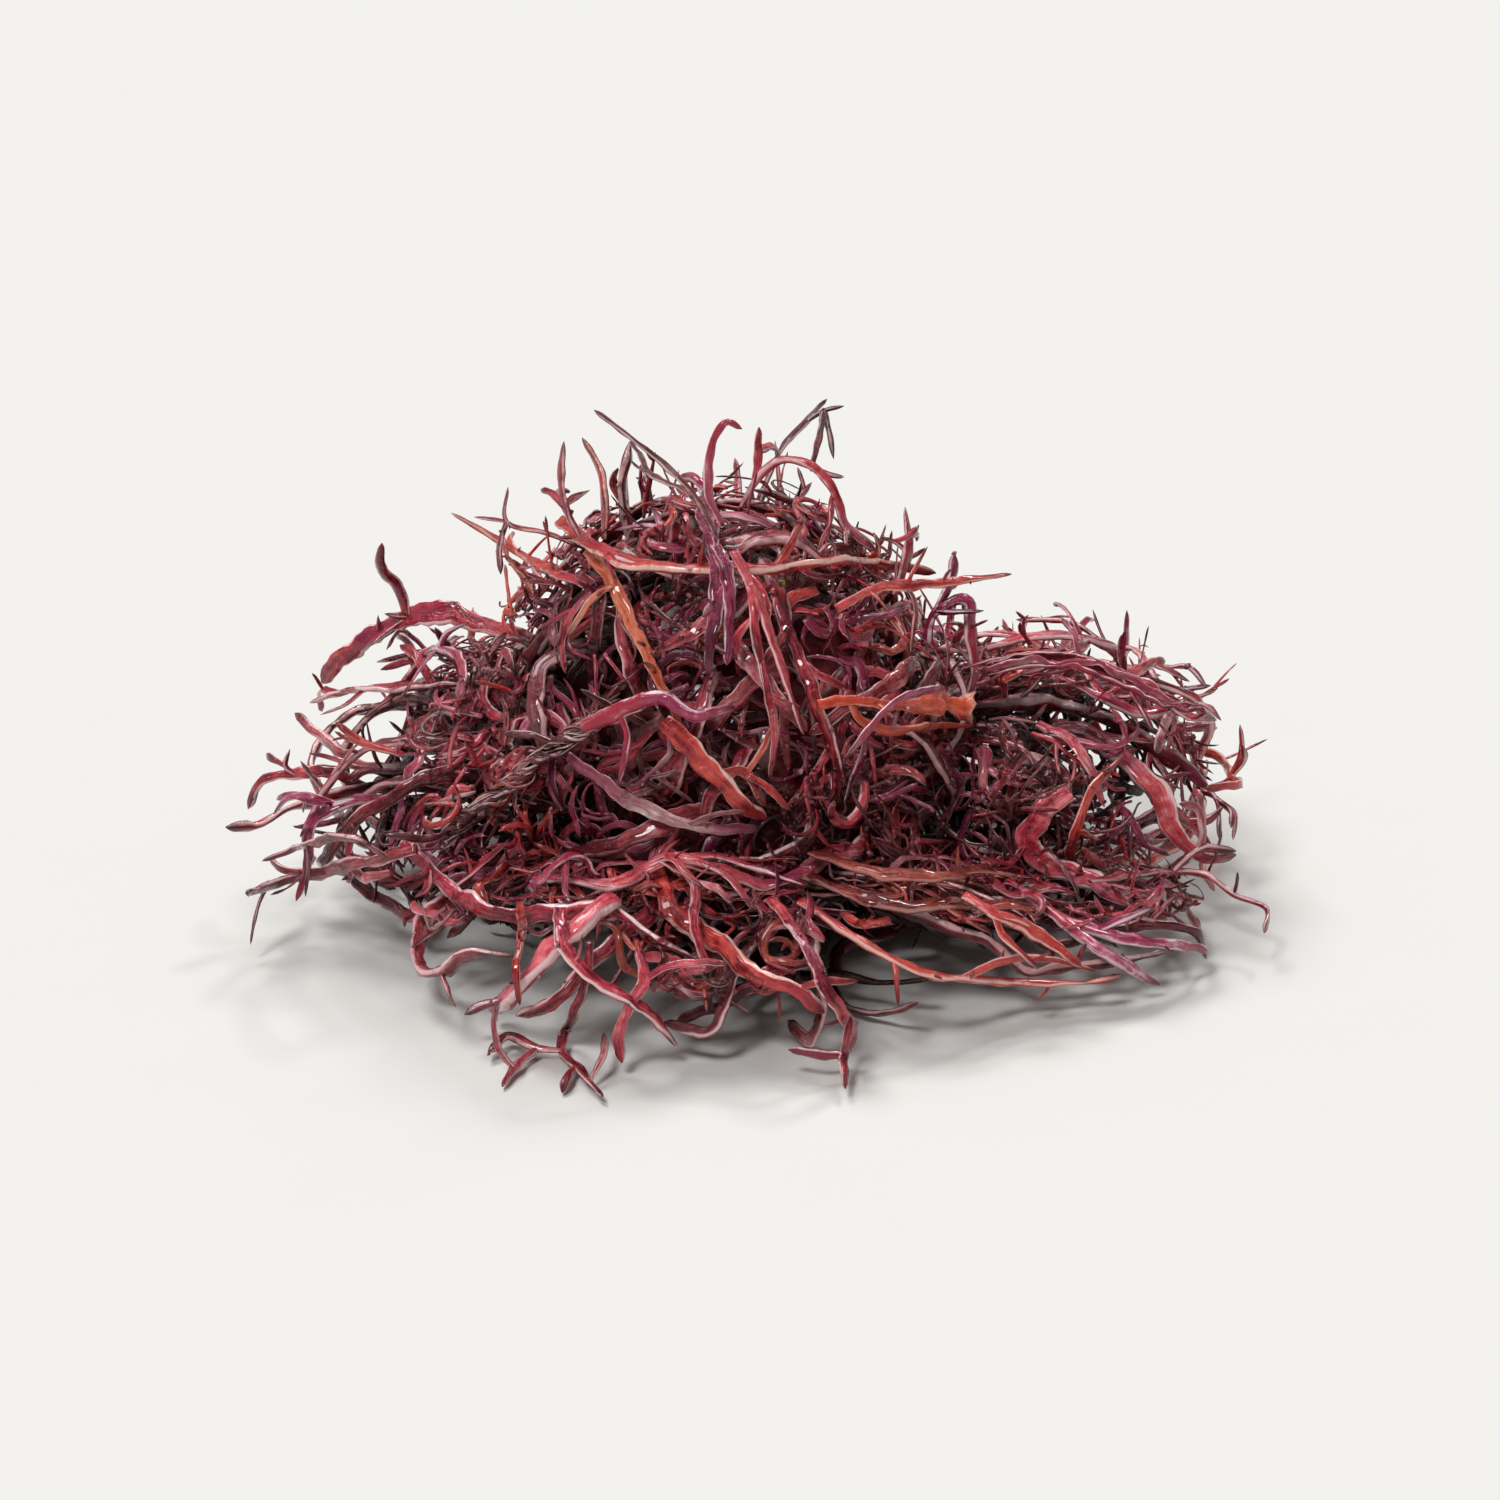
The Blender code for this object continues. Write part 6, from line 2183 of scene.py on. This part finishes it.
@dataclass
class Rope(FineFrond):
    """The dark rope: fibres twisted round one another, with frayed tan and rust-coloured ones."""

    frayed: tuple[tuple[str, int], ...] = (("taupe", 9), ("rust", 8))
    twist: float = 0.11

    def dressed(self, skein: Skein, strand: Strand, build: Build, rng: random.Random) -> None:
        """Adds the rope's dark fibres, or one of its spurs."""
        line = Course.of_strand(strand, rng)
        if strand is not self.frond.strands[0]:
            skein.sweep(line, Build.WIRE.value, rng, 8)
            return
        for number in range(9):
            span = (rng.uniform(0, 0.1), rng.uniform(0.85, 1.0))
            half = rng.uniform(0.24, 0.40)
            radius = rng.uniform(0.45, 0.9)
            ply = Ply(number / 9, self.twist, span, radius, half, rng.uniform(0, 1))
            skein.sweep(ply.course(line, rng), Build.COLLAPSED.value, rng, 7)

    def build(self) -> bpy.types.Object:
        """Makes the rope, and its frayed fibres as pieces of their own.

        Returns:
            The piece with the dark fibres.
        """
        piece = super().build()
        rng = random.Random("frayed rope")
        line = Course.of_strand(self.frond.strands[0], rng)
        for tone, count in self.frayed:
            skein = Skein()
            for _ in range(count):
                start = rng.uniform(0.0, 0.75)
                span = (start, start + rng.uniform(0.12, 0.3))
                half = rng.uniform(0.14, 0.24)
                fray = rng.uniform(0.2, 2.0)
                ply = Ply(rng.random(), self.twist, span, rng.uniform(0.95, 1.15), half, fray)
                skein.sweep(ply.course(line, rng), Build.COLLAPSED.value, rng, 6)
            skein.finished(f"rope_fibres_{tone}", FINISHES[tone])
        return piece


@dataclass
class Trumpet(FineFrond):
    """The trumpet-shaped frond: a tube with a torn mouth, and the slim strand below it."""

    lower_share: float = 0.62

    def dressed(self, skein: Skein, strand: Strand, build: Build, rng: random.Random) -> None:
        """Adds the tube or the slim strand."""
        line = Course.of_strand(strand, rng)
        if not line.mouth:
            line.halves = line.halves * self.lower_share
            build = Build.COLLAPSED
        skein.sweep(line, build.value, rng, 14 if line.mouth else 8)


@dataclass
class Crumbs:
    """The grit and torn crumbs that cling to the strands, thickest on the crusty knots."""

    tone: str
    zones: tuple[Zone, ...]
    size: tuple[float, float] = (0.13, 0.38)

    def build(self, hosts: Sequence[bpy.types.Object]) -> bpy.types.Object:
        """Makes the piece.

        Args:
            hosts: the pieces that they cling to.

        Returns:
            The piece.
        """
        rng = random.Random("crumbs " + self.tone)
        places = np.concatenate([self.points(host) for host in hosts])
        places = places[depth_under_skin(places) < 2.5]
        offset = places - np.array(VIEW.eye)
        scale = SIGHT_DISTANCE / (offset @ np.array(VIEW.away))
        across = offset[:, 0] * scale
        rise = (offset @ np.array(VIEW.rising)) * scale + AIM_RISE
        skein = Skein()
        for zone in self.zones:
            inside = (across > zone.across[0]) & (across < zone.across[1])
            inside &= (rise > zone.rise[0]) & (rise < zone.rise[1])
            found = places[inside & (places[:, 1] < 12)]
            for _ in range(zone.count if len(found) else 0):
                self.crumb(skein, found[rng.randrange(len(found))], rng)
        return skein.finished(f"crumbs_{self.tone}", FINISHES[self.tone])

    @staticmethod
    def points(host: bpy.types.Object) -> np.ndarray:
        """Gives a piece's points, in millimetres."""
        flat = np.empty(len(host.data.vertices) * 3, np.float32)
        host.data.vertices.foreach_get("co", flat)
        return flat.reshape(-1, 3).astype(float) / MM

    def crumb(self, skein: Skein, place: np.ndarray, rng: random.Random) -> None:
        """Adds one crumb: a crooked bit with a few faces.

        Args:
            skein: the piece.
            place: where it clings.
            rng: what its shape is drawn from.
        """
        size = rng.uniform(*self.size)
        turn = math.tau * np.arange(5) / 5
        rings = [[0, 0, 1.0]]
        for height, shift in ((0.45, 0.0), (-0.45, 0.6)):
            rings += [[0.9 * math.cos(a + shift), 0.9 * math.sin(a + shift), height] for a in turn]
        corners = np.array([*rings, [0, 0, -1.0]])
        corners *= np.array([[rng.uniform(0.6, 1.35)] for _ in corners])
        corners *= np.array([rng.uniform(0.6, 1.0), rng.uniform(0.6, 1.0), rng.uniform(0.8, 2.2)])
        spin = Quaternion([rng.gauss(0, 1) for _ in range(4)]).normalized().to_matrix()
        corners = corners @ np.array(spin).T * size + place
        corners[:, 2] = np.maximum(corners[:, 2], FLOOR_GAP)
        after = [1, 2, 3, 4, 0]
        faces = [[0, 1 + a, 1 + after[a]] for a in range(5)]
        faces += [[1 + a, 6 + a, 1 + after[a]] for a in range(5)]
        faces += [[6 + a, 6 + after[a], 1 + after[a]] for a in range(5)]
        faces += [[11, 6 + after[a], 6 + a] for a in range(5)]
        skein.add(corners, [np.array(faces)], {"tint": rng.uniform(-1, 1)})


@dataclass
class Heart(FineFrond):
    """The matted heart: its strands, and the dark core that they stand out of."""

    relief: float = 1.6

    def build(self) -> bpy.types.Object:
        """Makes the piece and its core, which both stand for the heart's solid."""
        piece = super().build()
        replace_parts(self.core(), self.frond.name)
        return piece

    def core(self) -> bpy.types.Object:
        """Models the core: an egg with a matted relief, cut flat where it rests.

        Returns:
            The core.
        """
        bpy.ops.object.select_all(action="DESELECT")
        bpy.ops.mesh.primitive_ico_sphere_add(
            subdivisions=5, radius=1.0, location=CORE_CENTRE * MM, scale=CORE_HALF * MM
        )
        core = bpy.context.object
        core.name = core.data.name = "matted_core"
        bpy.ops.object.transform_apply(location=True, rotation=True, scale=True)
        for coarse, (size, strength) in enumerate(((2.6, 1.3), (0.9, 0.5))):
            texture = bpy.data.textures.new(f"matting_{coarse}", "CLOUDS")
            texture.noise_scale = size * MM
            matting = core.modifiers.new("Matting", "DISPLACE")
            matting.texture = texture
            matting.texture_coords = "LOCAL"
            matting.strength = self.relief * strength * MM
            bpy.ops.object.modifier_apply(modifier=matting.name)
        bpy.ops.object.mode_set(mode="EDIT")
        bpy.ops.mesh.select_all(action="SELECT")
        bpy.ops.mesh.bisect(
            plane_co=(0, 0, FLOOR_GAP * MM), plane_no=(0, 0, 1), clear_inner=True, use_fill=True
        )
        bpy.ops.mesh.select_all(action="SELECT")
        bpy.ops.mesh.normals_make_consistent(inside=False)
        bpy.ops.object.mode_set(mode="OBJECT")
        core.data.shade_smooth()
        places = np.array([vertex.co for vertex in core.data.vertices]) / MM
        # The core is painted with the same shade by depth and takes the dark tone: a dark lump that
        # stands for the shade deep inside the heap.
        for mark in MARKS:
            attribute = core.data.attributes.new(mark, "FLOAT", "POINT")
            if mark == "buried":
                depth = np.clip(depth_under_skin(places) / SHADE_DEPTH, 0, 1)
                attribute.data.foreach_set("value", depth.astype(np.float32))
        core.data.materials.append(FINISHES["dark"].material())
        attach(core, "root")
        log.info("matted_core: %d faces", len(core.data.polygons))
        return core


@dataclass
class Undergrowth:
    """The thin fronds between the ones that the solids have, in one piece for each tone."""

    growth: ThinGrowth
    layers: tuple[Layer, ...] = (
        Layer("inner", 130, (-8.0, -4.0), (1.0, 2.0), (9, 20), (2, 4)),
        Layer("middle", 250, (-4.0, -1.2), (0.8, 1.7), (7, 18), (2, 5), 0.26),
        Layer("outer", 250, (-1.5, 0.8), (0.6, 1.4), (6, 15), (2, 5), 0.32, 1.2),
        Layer("upright", 130, (5.0, 7.0), (0.7, 1.4), (3, 8), (1, 4), 0.34, 1.5),
        Layer("wisps", 480, (-1.2, 1.2), (0.30, 0.65), (3, 9), (0, 2), 0.4, 1.6),
    )
    skeins: dict[str, Skein] = field(default_factory=dict)

    def build(self) -> list[bpy.types.Object]:
        """Makes the pieces.

        Returns:
            The pieces.
        """
        rng = self.growth.rng
        for layer in self.layers:
            for number in range(layer.count):
                if number % SETTLE_EVERY == 0:
                    self.growth.crowd.settle()
                start = self.spot(layer)
                skein = self.skeins.setdefault(self.tone(start, layer), Skein())
                build = rng.choice((Build.COLLAPSED, Build.COLLAPSED, Build.PLUMP, Build.BLADE))
                self.growth.branched(skein, layer, start, build)
        return [
            skein.finished(f"undergrowth_{tone}", FINISHES[tone])
            for tone, skein in self.skeins.items()
        ]

    def spot(self, layer: Layer) -> Vector:
        """Finds the emptiest of some places in a layer.

        Args:
            layer: the layer.

        Returns:
            The place.
        """
        rng = self.growth.rng
        best, best_gap = Vector(), -math.inf
        tries = 0
        while tries < SPOT_CHOICES:
            centre, half = rng.choice(MOUNDS)
            place = centre + on_sphere(rng, 0.0, 1.0) * half
            upright = layer.depth[0] >= UPRIGHT_DEPTH
            place = place + outward(place) * (-1.5 if upright else rng.uniform(*layer.depth))
            if rng.random() > CROSSING_SHARE and self.growth.crowd.hides(place, 0.5):
                continue
            if place.z < 1.0 or skin_gap(place) < layer.depth[0] - 8 or not in_outline(place):
                continue
            across, rise, _ = VIEW.sight(place)
            if upright and place.z < UPRIGHT_FROM - 0.3 * abs(place.x):
                continue
            if any(zone.holds(across, rise) and rng.random() > THIN_SHARE for zone in THIN_ZONES):
                continue
            tries += 1
            gap = self.growth.crowd.gap(place, 0.5)
            if gap > best_gap:
                best, best_gap = place, gap
        return best

    def tone(self, place: Vector, layer: Layer) -> str:
        """Chooses a frond's tone by its place, as the photograph has them.

        Args:
            place: where it starts.
            layer: its layer.

        Returns:
            The name of the tone.
        """
        rng = self.growth.rng
        across, rise, _ = VIEW.sight(place)
        if layer.name == "inner":
            # The inner fronds take mostly the dark tone: dark strands that stand for the shade deep
            # in the heap.
            choices = ("dark", "dark", "maroon")
        elif layer.name == "wisps":
            choices = ("maroon", "wine", "crimson", "taupe", "dark", "umber", "brick")
        elif across > 18:
            choices = ("crimson", "maroon", "maroon", "maroon", "dark", "wine", "brick")
        elif across < -16:
            choices = ("maroon", "wine", "maroon", "brick", "crimson", "dark", "wine")
        elif rise > 26:
            choices = ("maroon", "brick", "crimson", "wine", "maroon", "brick", "maroon")
        elif rise > 6:
            choices = ("maroon", "umber", "wine", "dark", "crimson", "maroon", "crimson", "wine")
        else:
            choices = ("brick", "crimson", "rust", "maroon", "dark", "wine")
        return rng.choice(choices)


@dataclass
class Wires:
    """Dark curly wires that stand out of the tangle."""

    growth: ThinGrowth
    zones: tuple[Zone, ...] = (
        Zone((3, 12), (6, 16), 26),
        Zone((22, 36), (7, 15), 26),
        Zone((-14, -1), (24, 36), 16),
        Zone((-30, -22), (6, 26), 14),
        Zone((-8, 14), (38, 46), 8),
        Zone((-30, 40), (-2, 6), 26),
    )

    def build(self) -> bpy.types.Object:
        """Makes the piece.

        Returns:
            The piece.
        """
        rng = self.growth.rng
        skein = Skein()
        for zone in self.zones:
            for _ in range(zone.count):
                sight = Vector((rng.uniform(*zone.across), rng.uniform(*zone.rise), 0))
                sight.z = VIEW.reach(sight, None, 0.6) + rng.uniform(-0.5, 2.5)
                start = VIEW.place(sight)
                out = outward(start)
                way = (Quaternion(out, rng.uniform(0, math.tau)) @ out.orthogonal()).normalized()
                half = rng.uniform(0.14, 0.26)
                line = self.growth.grown(start, way, half, rng.uniform(4, 12), 0.6, 0.3)
                if len(line) > 4:
                    skein.sweep(Course.of_points(line, half), Build.WIRE.value, rng, 5)
        return skein.finished("curly_wires", FINISHES["umber"])


@dataclass(frozen=True)
class Studio:
    """The plain pale studio: the floor, the light and the camera."""

    floor_side: float = 6.0
    floor_colour: Colour = (0.690, 0.682, 0.659)
    world: float = 0.18
    suns: tuple[tuple[str, float, float, tuple[float, float, float]], ...] = (
        ("back_key", 1.90, 26, (-0.34, 0.38, 0.86)),
        ("front_fill", 1.60, 14, (-0.30, -0.55, 0.78)),
        ("glint", 0.95, 10, (0.25, 0.55, 0.62)),
    )

    def build(self) -> None:
        """Sets up the floor, the lights and the camera."""
        self.floor()
        self.lights()
        self.camera()

    def floor(self) -> None:
        """Lays the floor."""
        bpy.ops.object.select_all(action="DESELECT")
        bpy.ops.mesh.primitive_plane_add(size=self.floor_side, location=(0, 0, -0.00002))
        floor = bpy.context.object
        floor.name = "floor"
        graph = Graph("pale_floor")
        grain = graph.noise(graph.node("ShaderNodeTexCoord", output=3), 60.0, 3.0)
        worn = tuple(value * 0.985 for value in self.floor_colour)
        floor.data.materials.append(graph.finished({
            "Base Color": graph.mix(self.floor_colour, worn, grain),
            "Roughness": 0.85,
            "Specular IOR Level": 0.15,
        }))

    def lights(self) -> None:
        """Sets the world and the lights."""
        scene = bpy.context.scene
        scene.world = scene.world or bpy.data.worlds.new("studio")
        scene.world.use_nodes = True
        background = scene.world.node_tree.nodes["Background"]
        background.inputs["Color"].default_value = (1.0, 0.985, 0.96, 1)
        background.inputs["Strength"].default_value = self.world
        for name, strength, spread, place in self.suns:
            light = bpy.data.lights.new(name, "SUN")
            light.energy = strength
            light.angle = math.radians(spread)
            lamp = bpy.data.objects.new(name, light)
            lamp.rotation_euler = Vector(place).to_track_quat("Z", "Y").to_euler()
            scene.collection.objects.link(lamp)

    def camera(self) -> None:
        """Sets the camera where the routes are seen from."""
        scene = bpy.context.scene
        data = bpy.data.cameras.new("camera")
        data.sensor_width = 36.0
        data.lens = data.sensor_width * SIGHT_DISTANCE / PICTURE_WIDTH
        data.clip_start = 0.01
        data.clip_end = 20.0
        camera = bpy.data.objects.new("camera", data)
        camera.location = VIEW.eye * MM
        camera.rotation_euler = (-VIEW.away).to_track_quat("Z", "Y").to_euler()
        scene.collection.objects.link(camera)
        scene.camera = camera
        scene.view_settings.view_transform = "Standard"


def main() -> None:
    """Builds the studio and every piece of the heap."""
    logging.basicConfig(level=logging.INFO, format="%(message)s")
    Studio().build()
    room = Room()
    fronds = grow_heap(room)
    crowd = Crowd(room.balls, fronds)
    growth = ThinGrowth(crowd, random.Random(SEED))
    special = {"matted_heart": Heart, "dark_rope": Rope, "trumpet": Trumpet}
    special.update(dict.fromkeys(BUNDLED, Bundle))
    pieces = [special.get(frond.name, FineFrond)(frond, growth).build() for frond in fronds]
    pieces += Undergrowth(growth).build()
    pieces.append(Wires(growth).build())
    Crumbs("umber", CRUSTY).build(pieces)
    Crumbs("taupe", GRITTY, (0.10, 0.26)).build(pieces)
    Crumbs("moss", (Zone((3, 5.4), (32.6, 34.4), 7),), (0.25, 0.5)).build(pieces)


if __name__ == "__main__":
    main()
